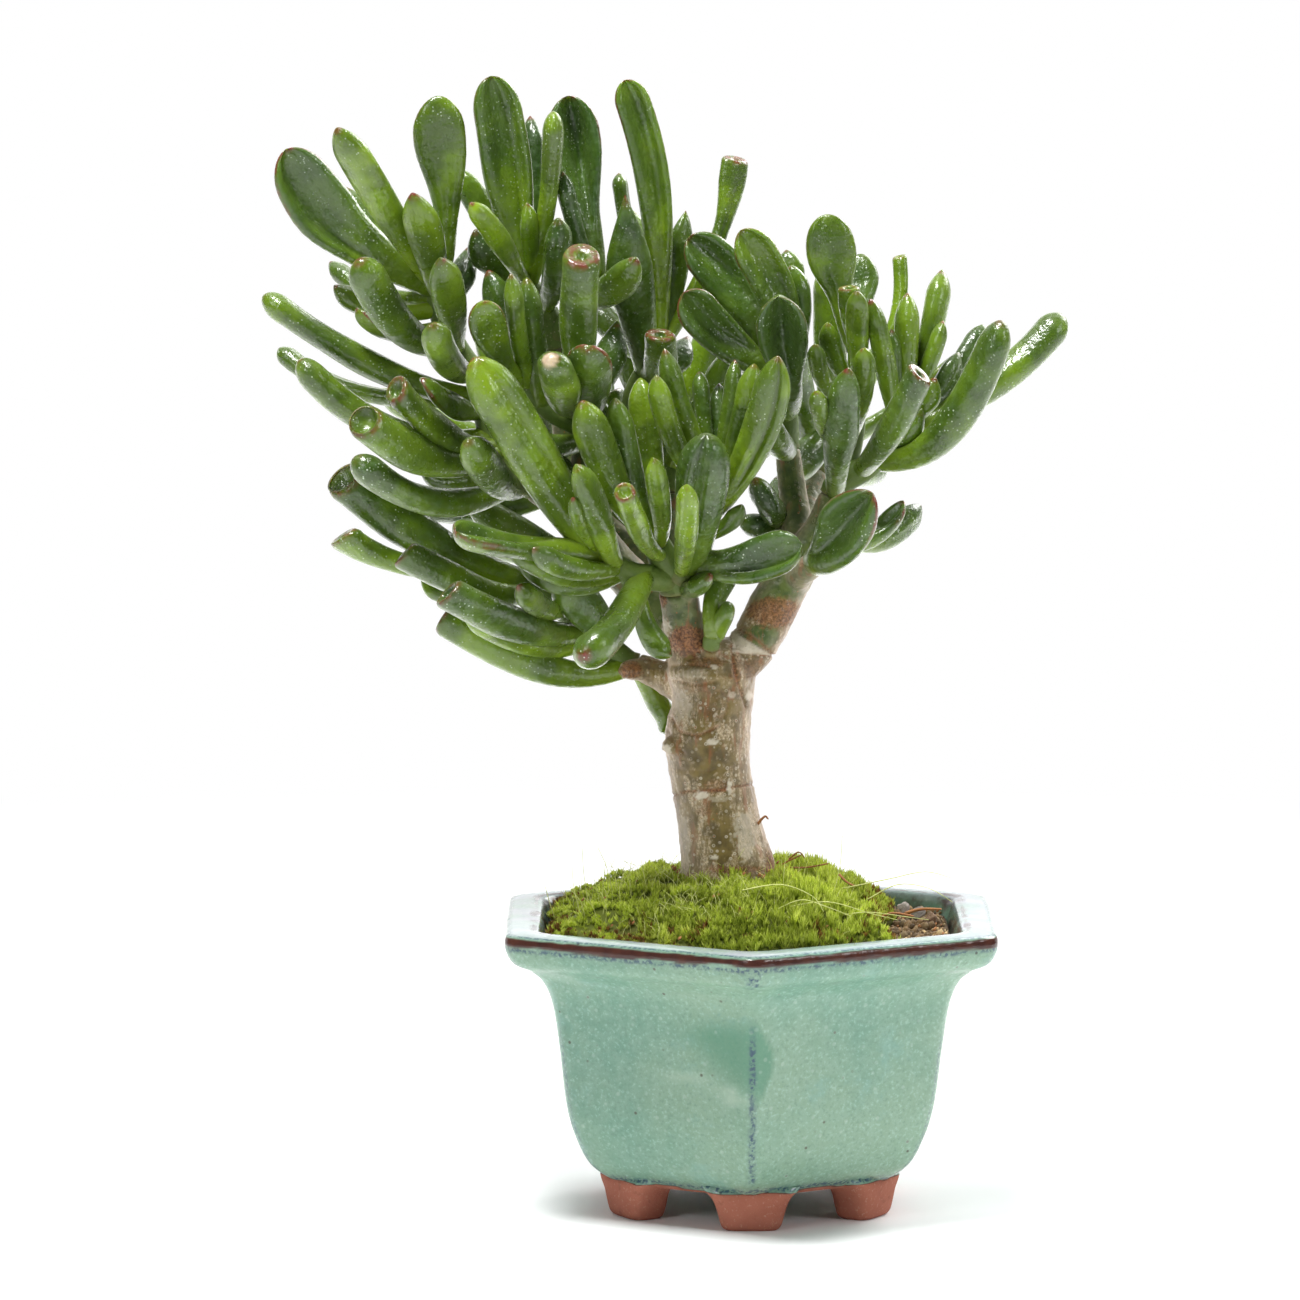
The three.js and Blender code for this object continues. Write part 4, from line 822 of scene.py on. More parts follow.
def add_skin(points, faces, masks, rings, close_last):
    """A closed skin over rings of equal count, from a flat first end to a last point."""
    first = len(points)
    sides = len(rings[0][0])
    for ring, marks in rings:
        points.extend(ring)
        masks.extend(marks)
    for r in range(len(rings) - 1):
        stitch(faces, first + r * sides, first + (r + 1) * sides, sides)
    faces.append(tuple(first + i for i in reversed(range(sides))))
    points.append(close_last)
    masks.append(rings[-1][1].mean(0))
    fan(faces, first + (len(rings) - 1) * sides, sides, len(points) - 1)


def wood_knots(name):
    return knots_of([row for row in WOOD[name] if row[1] > BURIED - 5])


def bark_masks(points):
    """Green, scar, cream and silver masks, and the relief outwards in millimetres."""
    across, up = to_sheet(points)
    rough = noise_at(points, 0.45)
    fine = noise_at(points, 1.3)
    wide = noise_at(points * (1, 1, 0.35), 0.16)
    relief = 0.25 * wide + 0.16 * rough + 0.08 * fine
    front = points[:, 1] < 6

    def oval(x, z, half_wide, half_high, ragged=0.6):
        away = ((across - x) / half_wide) ** 2 + ((up - z) / half_high) ** 2 + ragged * (fine + 0.6 * rough)
        return smooth_step((1.35 - away) / 0.7) * front

    def groove(knots, half):
        """Nearness to a line of [across, up] places, 1 on it and 0 past its width."""
        near = np.zeros(len(points))
        for (x0, z0), (x1, z1) in zip(knots, knots[1:]):
            share = ((across - x0) * (x1 - x0) + (up - z0) * (z1 - z0)) / ((x1 - x0) ** 2 + (z1 - z0) ** 2)
            share = np.clip(share, 0, 1)
            away = np.hypot(across - x0 - share * (x1 - x0), up - z0 - share * (z1 - z0))
            near = np.maximum(near, np.exp(-(away / half) ** 2))
        return near * front

    # the scars that fallen leaves left: grooves round the trunk and an oval eye
    grooves = ([(-20.5, 105.9), (-16, 107.2), (-8.8, 107.1), (-4.4, 108.3), (2, 109)],
               [(-20, 126), (-18.2, 122.6), (-13.8, 121.4), (-10, 122.9), (-8, 124.2)],
               [(-21, 123), (-19.4, 119.5), (-17, 117)],
               [(-19.5, 135.8), (-14, 134.6), (-9, 135.4)], [(-20, 139.6), (-14.5, 139.8), (-10, 139)],
               [(-4.7, 143.6), (-3.9, 138), (-2.4, 133), (-1, 129)], [(-20, 113), (-12, 112), (-2, 113.5)],
               [(-4.9, 144.2), (-0.5, 142.9), (5.9, 142)],
               [(-4.4, 149.8), (-0.4, 147.6), (2.4, 145.8), (6, 142.2)])
    depths = (0.45, 0.5, 0.3, 0.35, 0.3, 0.55, 0.12, 0.5, 0.4)
    darks = (0.85, 0.6, 0.35, 0.4, 0.3, 0.7, 0.1, 0.8, 0.6)
    scar = np.zeros(len(points))
    for knots, depth, dark in zip(grooves, depths, darks):
        near = groove(knots, 0.42)
        relief += 0.35 * depth * groove(knots, 1.5) - depth * near
        scar += dark * near * smooth_step((fine + rough + 0.7) / 0.6)
    eye = np.hypot((across + 7.8) / 2.1, (up - 129.6) / 3.3)
    eye_ring = (np.exp(-((eye - 1) / 0.16) ** 2) + 0.6 * np.exp(-((eye - 0.5) / 0.14) ** 2)) * front
    relief -= 0.22 * eye_ring
    scar += 0.3 * eye_ring
    fluted = smooth_step((1.6 - np.abs(up - 137.6)) / 0.8) * smooth_step((-9.5 - across) / 1.5) * front
    relief += fluted * (0.25 + 0.16 * np.sin(across * 5.2))
    # rust where old leaves tore, brown where twigs broke
    for x, z, half_wide, half_high, dark in (
            (-8.3, 108.6, 3.4, 1.7, 0.45), (-8.6, 107.4, 2.6, 0.5, 0.6), (-11.6, 101.9, 2.2, 1, 0.35),
            (-16, 146, 5.4, 3.8, 1), (6, 153.4, 7, 3.8, 0.8), (-14, 133.6, 4, 0.9, 0.3),
            (-22.9, 156.6, 1.8, 2.2, 1), (-30.5, 138.5, 3, 2.4, 0.8), (5.5, 90, 1.6, 4, 0.5),
            (-3.6, 138.5, 1.3, 4.4, 0.5), (6.6, 88.5, 1.7, 5, 0.6), (-2, 86.8, 9, 1, 0.6),
            (-11, 140.5, 5, 1.4, 0.5), (1.5, 138.5, 3.6, 3, 0.4)):
        scar += dark * oval(x, z, half_wide, half_high)
    # cream chips where the bark has flaked
    cream = np.zeros(len(points))
    for x, z, half_wide, half_high, light in (
            (-12.4, 106.1, 2, 0.95, 1), (-5.3, 108.1, 0.6, 2, 1), (-9.7, 120, 1.5, 0.8, 0.9),
            (-21.4, 117.6, 1.4, 1.6, 0.9), (-9, 90, 0.9, 0.5, 1), (-9.3, 139.2, 0.9, 0.6, 0.7),
            (-0.3, 131.9, 0.9, 1.2, 0.8), (-4.6, 132, 0.9, 0.9, 0.5),
            (-14.5, 137.6, 4, 1.2, 0.35), (-8.2, 105.3, 3, 0.8, 0.35), (-1.2, 95.7, 3, 6.5, 0.5),
            (-17, 94, 1.8, 7, 0.4), (-17.4, 128.5, 2.4, 4.5, 0.4), (-21.4, 149.5, 1.5, 3, 0.8),
            (-11.4, 152, 0.8, 4, 0.6)):
        cream += light * oval(x, z, half_wide, half_high, 1.1)
    # a bare silver wedge at the root of the right branch, between two folds of bark
    wedge = smooth_step((up - 142 - (5.6 - across) * 0.06) / 0.5)
    wedge *= smooth_step((148.6 - (across + 4.4) * 0.62 - up) / 0.5)
    cream += 0.8 * wedge * (across > -4.6) * front
    relief += 0.3 * wedge + 0.2 * cream
    patch = oval(3, 147.2, 4.4, 3, 0.5) * (1 - wedge)
    # the branches turn green above the bark, the right one higher up
    high = smooth_step((up - 154.5 - rough * 2) / 3) * (across > -6)
    high += smooth_step((up - 147 - rough * 2) / 3) * (across < -6)
    green = np.clip(patch + high, 0, 1)
    olive = np.maximum(oval(-11.8, 116, 7.2, 7.4, 1.2), oval(-7.6, 95, 2.6, 8, 1.3))
    olive = np.maximum(olive, 0.7 * oval(-6, 131, 5, 6, 1.5))
    silver = (1 - olive) * smooth_step((0.75 + wide + 0.5 * rough) / 0.8) * (1 - green)
    masks = np.stack((green, np.clip(scar, 0, 1), np.clip(cream, 0, 1), np.clip(silver, 0, 1)), axis=1)
    return masks, relief


def bark_material():
    material, tree = new_material("jade_bark")
    place = place_in(tree)
    green, scar, cream, silver = masks_of(tree, "bark")
    grit = noise_value(tree, place, 1500.0, 4, 0.7)
    streaks = add_node(tree, "ShaderNodeMapping", {"Vector": place, "Scale": (1, 1, 0.25)}).outputs[0]
    olive = mix_colour(tree, patches(tree, place, (260.0, 4), 0.35, 0.65),
                       (0.095, 0.066, 0.010), (0.21, 0.148, 0.032))
    pale = mix_colour(tree, ramp(tree, grit, 0.35, 0.65), (0.27, 0.185, 0.07), (0.76, 0.63, 0.43))
    torn = patches(tree, streaks, (300.0, 6, 0.75), 0.45, 0.6, 0.05, 0.95)
    colour = mix_colour(tree, times(tree, silver, torn), olive, pale)
    leafy = mix_colour(tree, patches(tree, place, (330.0, 4), 0.35, 0.65),
                       (0.045, 0.085, 0.012), (0.12, 0.16, 0.035))
    colour = mix_colour(tree, green, colour, leafy)
    rust = patches(tree, streaks, (420.0, 5), 0.54, 0.68, 0, 0.75)
    colour = mix_colour(tree, rust, colour, (0.27, 0.10, 0.025))
    cells = add_node(tree, "ShaderNodeTexVoronoi", {"Vector": place, "Scale": 680.0})
    which = add_node(tree, "ShaderNodeSeparateColor", {"Color": cells.outputs["Color"]})
    off_ring = calc(tree, "ABSOLUTE", calc(tree, "SUBTRACT", cells.outputs["Distance"], 0.22))
    ring = ramp(tree, off_ring, 0.16, 0.03)
    dots = times(tree, ring, ramp(tree, which.outputs[1], 0.3, 0.5))
    patchy = patches(tree, place, (130.0, 2), 0.35, 0.6, 0.3, 0.9)
    patchy = times(tree, patchy, ramp(tree, green, 0.1, 0.6, 1, 0.15))
    colour = mix_colour(tree, times(tree, dots, patchy), colour, (0.56, 0.49, 0.36))
    heart = times(tree, ramp(tree, cells.outputs["Distance"], 0.2, 0.08),
                  ramp(tree, which.outputs[2], 0.8, 0.86))
    colour = mix_colour(tree, times(tree, heart, 0.85), colour, (0.38, 0.13, 0.03))
    burnt = mix_colour(tree, ramp(tree, grit, 0.35, 0.65), (0.085, 0.030, 0.010), (0.36, 0.155, 0.055))
    colour = mix_colour(tree, scar, colour, burnt)
    chip = grain(tree, place, 800.0, (0.5, 0.42, 0.27), (0.85, 0.80, 0.68))
    colour = mix_colour(tree, cream, colour, chip)
    # painted sheen: the bark turns paler towards its outline, where it turns away from the eye, and less so
    # on scars
    edge = add_node(tree, "ShaderNodeLayerWeight", {"Blend": 0.33}).outputs["Facing"]
    edge = times(tree, edge, ramp(tree, scar, 0, 0.6, 0.8, 0.2))
    colour = mix_colour(tree, edge, colour, (0.72, 0.57, 0.47))
    height = calc(tree, "ADD", times(tree, noise_value(tree, streaks, 900.0, 6), 0.6),
                  times(tree, dots, 0.5))
    bump = bumps(tree, height, 0.7, 0.0004)
    roughness = patches(tree, place, (500.0,), 0.3, 0.7, 0.35, 0.6)
    shader = add_node(tree, "ShaderNodeBsdfPrincipled", {
        "Base Color": colour, "Roughness": roughness, "Normal": bump})
    return finished(material, shader)


def settle(piece, kind, **settings):
    """Adds a modifier and takes its result as the piece's own mesh."""
    modifier = piece.modifiers.new(kind.lower(), kind)
    for name, value in settings.items():
        setattr(modifier, name, value)
    graph = bpy.context.evaluated_depsgraph_get()
    made = bpy.data.meshes.new_from_object(piece.evaluated_get(graph))
    piece.modifiers.clear()
    piece.data = made


def points_of(mesh, kind="vertices", field="co"):
    values = np.zeros(len(mesh.vertices) * 3, np.float32)
    getattr(mesh, kind).foreach_get(field, values)
    return values.reshape(-1, 3).astype(float)


def trunk():
    points, faces, masks = [], [], []
    for name in WOOD:
        sides = 32 if name == "trunk" else 24
        rings, (end, heading, _) = tube_rings(wood_knots(name), 6, sides)
        marked = [(ring, np.zeros((sides, 4))) for ring, _ in rings]
        add_skin(points, faces, masks, marked, end + heading * 0.2)
    for rows in STUBS:
        rings, (end, heading, radius) = tube_rings(knots_of(rows), 6, 16)
        marked = [(ring, np.zeros((16, 4))) for ring, _ in rings]
        add_skin(points, faces, masks, marked, end + heading * radius * 0.4)
    piece = add_mesh("bark_trunk", points, faces, "bark")
    settle(piece, "REMESH", mode="VOXEL", voxel_size=BARK_GRAIN * MM)
    settle(piece, "SMOOTH", factor=0.6, iterations=6)
    mesh = piece.data
    at_mm = (points_of(mesh) - np.array(POT_AXIS)) / MM
    normals = points_of(mesh, "vertex_normals", "vector")
    masks, relief = bark_masks(at_mm)
    placed = (at_mm + normals * (relief - 0.05)[:, None]) * MM + np.array(POT_AXIS)
    mesh.vertices.foreach_set("co", placed.astype(np.float32).ravel())
    mesh.update()
    mesh.shade_smooth()
    paint(piece, "bark", masks)
    mesh.materials.clear()
    mesh.materials.append(bark_material())
    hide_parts("trunk")


trunk()


# ---------------- leafy stems
# Each green shoot carries on from the end of a branch, with its leaves grown from it
# in one piece. The leaves are thick and waxy: round fingers, flat paddles, hollow
# spoons, or tubes that end in a cut dish.

# Shoots are rows of [across, up, depth, radius]. Leaves are [tip across, tip up, tip
# depth, base across, base up, width, form, tone, way the face looks], with tone 0 for
# an old dark leaf and 1 for a young bright one.
LEAFY = {
  "front": {
    "shoots": [
      [[-21, 165, -9, 4.2], [-25, 173, -12, 3.2]],
      [[-19, 162, -9, 3.7], [-14, 168, -11, 3.3], [-11, 176, -10, 2.9], [-9, 185, -8, 2.4]],
      [[-20, 162, -8, 3.7], [-30, 163, -15, 3.2], [-38, 168, -17, 2.8]],
    ],
    "leaves": [
      [-73, 217, -34, -38, 168, 13, "finger", 0.8, "front"],
      [-75, 174, -46, -50, 177, 12, "spoon", 0.5, "up"],
      [-56, 170, -38, -36, 163, 6.5, "finger", 0.5],
      [-62, 170, -28, -38, 158, 7, "finger", 0.5],
      [-60, 169, -18, -40, 153, 8, "finger", 0.3],
      [-45, 183, -44, -41, 173, 4.5, "finger", 1],
      [-44, 209, -30, -31, 174, 9, "finger", 0.85, "front"],
      [-35, 210, -18, -28, 174, 8, "finger", 0.2],
      [-30, 213, -8, -25, 178, 8, "finger", 0.75],
      [-24, 214, -24, -19, 186, 6.5, "finger", 0.85],
      [-22, 221, -12, -15, 192, 7.5, "finger", 0.75],
      [-13, 215, -2, -11, 190, 5, "finger", 0.2],
      [-8, 212, 4, -8, 192, 5, "finger", 0.1],
      [-4, 218, -6, -6, 192, 5.5, "finger", 0.5],
      [1, 217, -16, -3, 188, 7, "finger", 0.5],
      [7, 219, -32, -3, 177, 9, "finger", 0.8, "front"],
      [-11, 199, -34, -14, 165, 12, "cup", 0.2, "front"],
      [-25, 193, -40, -19, 174, 6, "finger", 1],
      [-16, 186, -48, -17, 164, 6.5, "finger", 0.85],
      [-32, 184, -50, -24, 168, 5.5, "cup", 1, "front"],
      [-45, 191, -46, -33, 170, 8, "finger", 0.7],
      [-43, 142, -50, -29, 158, 11, "finger", 0.28],
      [-20, 142, -18, -32, 149, 6.5, "finger", 0.6],
      [-10, 163, -20, -16, 160, 7, "finger", 0.2],
      [13, 171, -26, -10, 165, 12, "spoon", 0.1, "front"],
      [-2, 181, -16, -8, 172, 5, "finger", 0.7],
      [-52, 196, 0, -40, 178, 8, "finger", 0.2],
      [-32, 192, -6, -25, 172, 8, "finger", 0.1],
    ],
  },
  "low_left": {
    "shoots": [[[-38, 146, 9, 3.2], [-48, 154, 10, 3], [-58, 161, 10, 2.6]]],
    "leaves": [
      [-77.5, 151.5, -4, -34, 131, 9, "cup", 0.5],
      [-73, 153, -16, -44, 140, 6, "finger", 0.8],
      [-77, 158, -26, -42, 148, 9, "cup", 0.2],
      [-88, 168, -12, -56, 156, 8, "cup", 0.5],
      [-84, 163, 20, -66, 154, 7, "finger", 0.6],
      [-103.5, 172.5, -2, -83, 168, 9.5, "trumpet", 0.6],
      [-103, 187, 4, -78, 173, 11, "cup", 0.35, "front"],
      [-86, 178, 26, -62, 163, 7, "finger", 0.9],
      [-59, 161, -28, -46, 155, 6, "finger", 0.6],
      [-18.8, 123, 16, -23.5, 131, 7.5, "finger", 0.8],
      [-50, 162, -6, -31, 150, 10.5, "finger", 0.15],
    ],
  },
  "left": {
    "shoots": [[[-61, 190, 5, 3.2], [-66, 198, 5, 3], [-69, 208, 6, 2.5]]],
    "leaves": [
      [-101, 193, -20, -70, 172.5, 9.5, "finger", 0.3],
      [-70, 199, -34, -60, 182, 9, "finger", 0.55],
      [-98, 202, -32, -72, 189, 9.5, "cup", 0.4, "front"],
      [-90, 210, -24, -70, 192, 9, "cup", 0.5, "left"],
      [-115, 218, -6, -84, 190, 9.5, "finger", 0.55],
      [-124, 234.5, 6, -78, 211, 8.8, "cup", 0.45],
      [-120, 221, 26, -100, 209, 6, "finger", 0.5],
      [-84, 213, -10, -72, 204, 8, "spoon", 0.5, "left"],
      [-84, 190, 12, -70, 184, 6, "finger", 0.6],
      [-76, 190, 34, -64, 188, 7, "finger", 0.4],
    ],
  },
  "upper_left": {
    "shoots": [[[-75, 221, 14, 3.2], [-79, 230, 12, 2.9], [-80, 237, 12, 2.4]]],
    "leaves": [
      [-118, 271.5, -4, -98, 240, 14, "spoon", 0.35, "front"],
      [-105, 277, -22, -80, 243, 8.8, "finger", 1],
      [-79.5, 285, 0, -72.5, 240, 11.5, "paddle", 0.6, "front"],
      [-103, 262, 24, -86, 240, 6.5, "finger", 0.7],
      [-86, 260.5, -18, -76, 235, 8.5, "finger", 0.75],
      [-79, 244, -28, -72, 222, 8, "finger", 0.55],
      [-99.5, 243.5, -26, -85, 217, 9.8, "finger", 0.25, "front"],
      [-106, 237, 10, -92, 228, 7, "finger", 0.9],
      [-107, 243, 30, -90, 232, 6, "finger", 0.5],
      [-81, 227, -34, -73, 213, 8, "finger", 0.5],
      [-100, 231, 0, -88, 221, 8, "spoon", 0.7],
      [-70, 247, 14, -77, 230, 8.5, "finger", 0.2],
    ],
  },
  "centre": {
    "shoots": [
      [[-43, 204, -2, 3.3], [-45, 211, -4, 2.8]],
      [[-43, 201, -1, 2.9], [-51, 205, -3, 2.7], [-58, 212, -4, 2.3]],
    ],
    "leaves": [
      [-68, 233, -28, -62, 212, 9, "paddle", 0.6, "front"],
      [-61, 240, -20, -57, 211, 6, "finger", 0.7],
      [-57, 239, -8, -54, 206, 9, "finger", 0.45],
      [-43, 244, -22, -44, 210, 9.5, "cup", 0.4, "front"],
      [-49, 219, -38, -45, 205, 9, "cup", 0.55, "up"],
      [-41, 220, -34, -39, 204, 12, "spoon", 0.25, "up"],
      [-65, 243, 6, -56, 215, 9, "finger", 0.15],
      [-34, 228, 4, -38, 206, 9, "finger", 0.1],
      [-60, 196, -12, -47, 197, 8, "finger", 0.25],
      [-29, 198, -14, -38, 198, 8, "finger", 0.2],
    ],
  },
  "top": {
    "shoots": [
      [[-52, 230, 15, 3.2], [-57, 238, 14, 2.6]],
      [[-50, 224, 15, 2.9], [-44, 231, 12, 2.6], [-40, 238, 11, 2.2]],
    ],
    "leaves": [
      [-66, 290, 4, -57, 240, 12.5, "spoon", 0.55, "front"],
      [-50, 281, -4, -51, 240, 8, "trumpet", 0.8],
      [-46.5, 285, 14, -38.5, 240, 13, "ladle", 0.05, "front"],
      [-56, 280, 28, -54, 246, 7, "finger", 0.1],
      [-29, 244, -10, -40, 231, 8.5, "finger", 0.5],
      [-57, 258, 2, -53, 243, 6, "finger", 0.6],
      [-73, 257, -16, -61, 236, 5.5, "finger", 1],
      [-75, 266, 16, -61, 243, 6.5, "finger", 0.4],
      [-48, 266, 4, -43, 244, 6, "finger", 0.1],
      [-70, 250, 2, -63, 234, 8, "finger", 0.3],
      [-49, 254, -6, -49, 232, 8, "finger", 0.2],
    ],
  },
  "top_right": {
    "shoots": [[[-29, 210, 21, 3.2], [-24, 220, 19, 2.6]]],
    "leaves": [
      [-32, 289, 8, -13, 239, 9, "spoon", 0.75, "front"],
      [-32, 260, 0, -28, 214, 10.5, "point", 0.1, "front"],
      [-23, 224, -6, -22, 212, 8, "cup", 0.6, "up"],
      [-33.5, 265.5, 22, -32, 246, 4.8, "finger", 0.4],
      [-4, 268.5, 24, -5.5, 240, 7.2, "trumpet", 0.6],
      [-16.5, 256, 22, -18, 236, 6.5, "point", 0.3],
      [-30, 256, 48, -29, 226, 9, "finger", 0.4],
      [-44, 245, 52, -34, 222, 9, "cup", 0.4],
      [-16, 224, 32, -22, 212, 8, "finger", 0.1],
    ],
  },
  "right_inner": {
    "shoots": [[[9, 203, 15, 3.2], [8, 212, 13, 2.8]]],
    "leaves": [
      [7, 234, -16, 13, 204, 13, "ladle", 0.25, "front"],
      [-2.5, 251, 2, 22, 224, 10.5, "spoon", 0.85, "front"],
      [-16, 249, 12, 7, 235, 11.5, "spoon", 0.35, "front"],
      [-17, 235, -6, 0, 220, 11, "spoon", 0.2, "front"],
      [9, 246, 18, 12, 228, 7, "finger", 0.3],
      [10, 242, 8, 17, 215, 7, "finger", 0.2],
      [3, 204, -8, 12, 192, 8, "finger", 0.3],
    ],
  },
  "right": {
    "shoots": [
      [[24, 187.5, 4, 3.6], [31, 191.5, 3, 3.1], [38, 199, 5, 2.5]],
      [[23, 187, 5, 3.2], [26, 198, 9, 2.9], [27, 210, 11, 2.6], [27, 221, 12, 2.2]],
    ],
    "leaves": [
      [64, 228, -14, 46, 177, 9.8, "finger", 0.4],
      [79.5, 229.5, 18, 54, 206, 9, "cup", 0.5],
      [60, 227, 28, 45, 202, 7, "finger", 0.15],
      [53, 220, 14, 45, 202, 6, "finger", 0.3],
      [43, 214, -26, 28, 190, 8, "cup", 0.35],
      [47, 213, -4, 41, 201, 6, "finger", 0.4],
      [30.5, 233.5, -10, 38, 204, 6.5, "finger", 0.7],
      [27, 235.5, -16, 28, 210, 5.5, "finger", 1],
      [36, 226, 0, 38, 205, 4.8, "finger", 0.3],
      [39.7, 235, 2, 39.5, 208, 8, "finger", 0.6],
      [37.8, 244, 20, 41, 214, 3.8, "cup", 0.7],
      [48.7, 241, 14, 45, 213, 8, "finger", 0.6],
      [49, 228, 4, 43, 210, 5, "finger", 0.6],
      [19.3, 255, 6, 22, 228, 12, "paddle", 0.6, "front"],
      [28, 245, 24, 28, 226, 10, "paddle", 0.3, "front"],
      [25, 236, -6, 27, 221, 5.5, "cup", 0.9],
      [29, 221, -22, 27, 199, 6, "finger", 1],
      [19.5, 227.5, -4, 22, 211, 5.5, "finger", 0.8],
      [16.5, 222, -14, 19, 205, 4.5, "finger", 0.8],
      [25, 216, -28, 19, 184, 8, "finger", 0.1],
      [17, 210, -26, 19, 196, 5, "finger", 1],
      [44, 206, -2, 36, 194, 7, "finger", 0.3],
    ],
  },
  "right_low": {
    "shoots": [[[20, 168.5, -8, 2.8], [27, 171, -4, 2.3]]],
    "leaves": [
      [31, 184, -34, 12, 163, 14, "spoon", 0.15, "front"],
      [39, 182, 2, 29, 168, 8.5, "spoon", 0.1, "left"],
      [43.5, 181, 14, 33, 170, 7, "finger", 0.2],
    ],
  },
  "right_back": {
    "shoots": [[[8.5, 180, 18, 2.8], [11, 188, 20, 2.4]]],
    "leaves": [
      [1, 188, 4, 8, 176, 9, "finger", 0.1],
      [-3, 178, 12, 5, 174, 8, "finger", 0.05],
      [7, 188, 30, 9, 178, 8, "finger", 0.3],
      [18, 202, 36, 12, 188, 8, "finger", 0.2],
    ],
  },
  "fork": {
    "shoots": [[[-8.3, 147.4, -8.5, 1.9]]],
    "leaves": [
      [-5.2, 153.9, -9, -8, 148.6, 6.4, "finger", 0.35],
      [-4, 166, 4, -14, 151, 7, "finger", 0.3],
    ],
  },
  "back": { "shoots": [[[-21, 193, 42, 3.4], [-20, 204, 48, 2.6]]], "leaves": [] },
  "back_left": { "shoots": [[[-53, 190, 46, 3], [-62, 200, 49, 2.4]]], "leaves": [] },
  "back_right": { "shoots": [[[19, 196, 44, 2.9], [21, 205, 48, 2.3]]], "leaves": [] },
  "back_low": { "shoots": [[[-37, 166, 43, 2.8], [-44, 171, 47, 2.3]]], "leaves": [] },
}

# Shoots at the back bear crossed pairs of leaves.
PAIRS = {
    "back": {"pairs": 4, "start": 0.7},
    "back_left": {"pairs": 3, "start": 0.7},
    "back_right": {"pairs": 3, "start": 1.3},
    "back_low": {"pairs": 3, "start": 0.2},
}
PAIR_LEAF = {"length": 42, "width": 8.5, "low_tilt": 18, "high_tilt": 66}
PAIR_FORMS = ["finger", "cup", "finger", "spoon", "finger"]

# How a form runs from base to end, in parts of its own width and length: width of
# the handle, how far the handle goes, place of full width, thickness, depth of the
# hollow along the face, length of the closing end.
FORMS = {
    "finger": {"neck": 0.6, "handle": 0, "full": 0.7, "thick": 0.84, "hollow": 0, "end": 0.55},
    "point": {"neck": 0.6, "handle": 0, "full": 0.6, "thick": 0.7, "hollow": 0, "end": 1.4},
    "paddle": {"neck": 0.48, "handle": 0.35, "full": 0.8, "thick": 0.45, "hollow": 0, "end": 0.6},
    "ladle": {"neck": 0.54, "handle": 0.4, "full": 0.8, "thick": 0.5, "hollow": 1.1, "end": 0.45},
    "spoon": {"neck": 0.54, "handle": 0, "full": 0.7, "thick": 0.52, "hollow": 1.15, "end": 0.6},
    "cup": {"neck": 0.62, "handle": 0, "full": 0.7, "thick": 0.88, "hollow": 0, "end": 0},
    "trumpet": {"neck": 0.58, "handle": 0.6, "full": 0.98, "thick": 0.72, "hollow": 0, "end": 0},
}
WAYS = {"front": (0, -1, 0.35), "up": (0, -0.35, 1), "left": (-1, -0.5, 0.3)}

BARK_END = 0.35                   # a green shoot starts this far past the wood


def shoot_knots(name, rows, carries_on):
    knots = knots_of(rows)
    if not carries_on:
        return knots
    branch = knots_of(WOOD[name])
    end, radius = branch[-1]
    heading = unit(end - branch[-2][0])
    return [(end + heading * BARK_END, radius), (end + heading * 3, radius), *knots]


def nearest_on_shoots(shoots, base):
    best = (math.inf, None)
    for shoot in shoots:
        line = smooth_line(shoot)
        for step in range((len(shoot) - 1) * 8 + 1):
            spot = line(step / 8)
            away = (spot[0][0] - base[0]) ** 2 + (spot[0][2] - base[2]) ** 2
            if away < best[0]:
                best = (away, spot)
    return best[1]


def seeded(seed):
    state = seed
    while True:
        state = state * 16807 % 2147483647
        yield state / 2147483647


# The leaves as they are drawn, before they bend clear of each other.
BASE_PULL = 0.35                  # how far up the leaf its bend lies
SAG = 0.14                        # how far a leaf that reaches out hangs through

leaves = []


def grow_leaf(stem, root, tip, over, width, form, way, tone):
    bend = over + (tip - over) * BASE_PULL
    bend[2] -= SAG * math.hypot(*(tip - root)[:2])
    leaves.append({"stem": stem, "root": root, "bend": bend, "tip": tip.copy(), "width": width,
                   "form": form, "way": unit(way), "tone": tone})


def face_way(root, heading, tip):
    """In and up, at the line of the shoot."""
    middle = (root + tip) / 2
    length = np.linalg.norm(tip - root)
    rise = (middle - root) @ heading + 0.5 * length
    return unit(root + heading * rise - middle + np.array((0, -0.12 * length, 0.05 * length)))


shoots_of = {}
for stem, parts in LEAFY.items():
    shoots = [shoot_knots(stem, rows, i == 0) for i, rows in enumerate(parts["shoots"])]
    shoots_of[stem] = shoots
    for tip_x, tip_up, tip_depth, base_x, base_up, width, form, tone, *way in parts["leaves"]:
        tip = on_sheet(tip_x, tip_up, tip_depth)
        root, heading, _ = nearest_on_shoots(shoots, on_sheet(base_x, base_up, 0))
        over = on_sheet(base_x, base_up, root[1] + (tip_depth - root[1]) * 0.3)
        looks = np.array(WAYS[way[0]], float) if way else face_way(root, heading, tip)
        grow_leaf(stem, root, tip, over, width, form, looks, tone)
        leaves[-1]["drawn"] = (tip_x, tip_up)

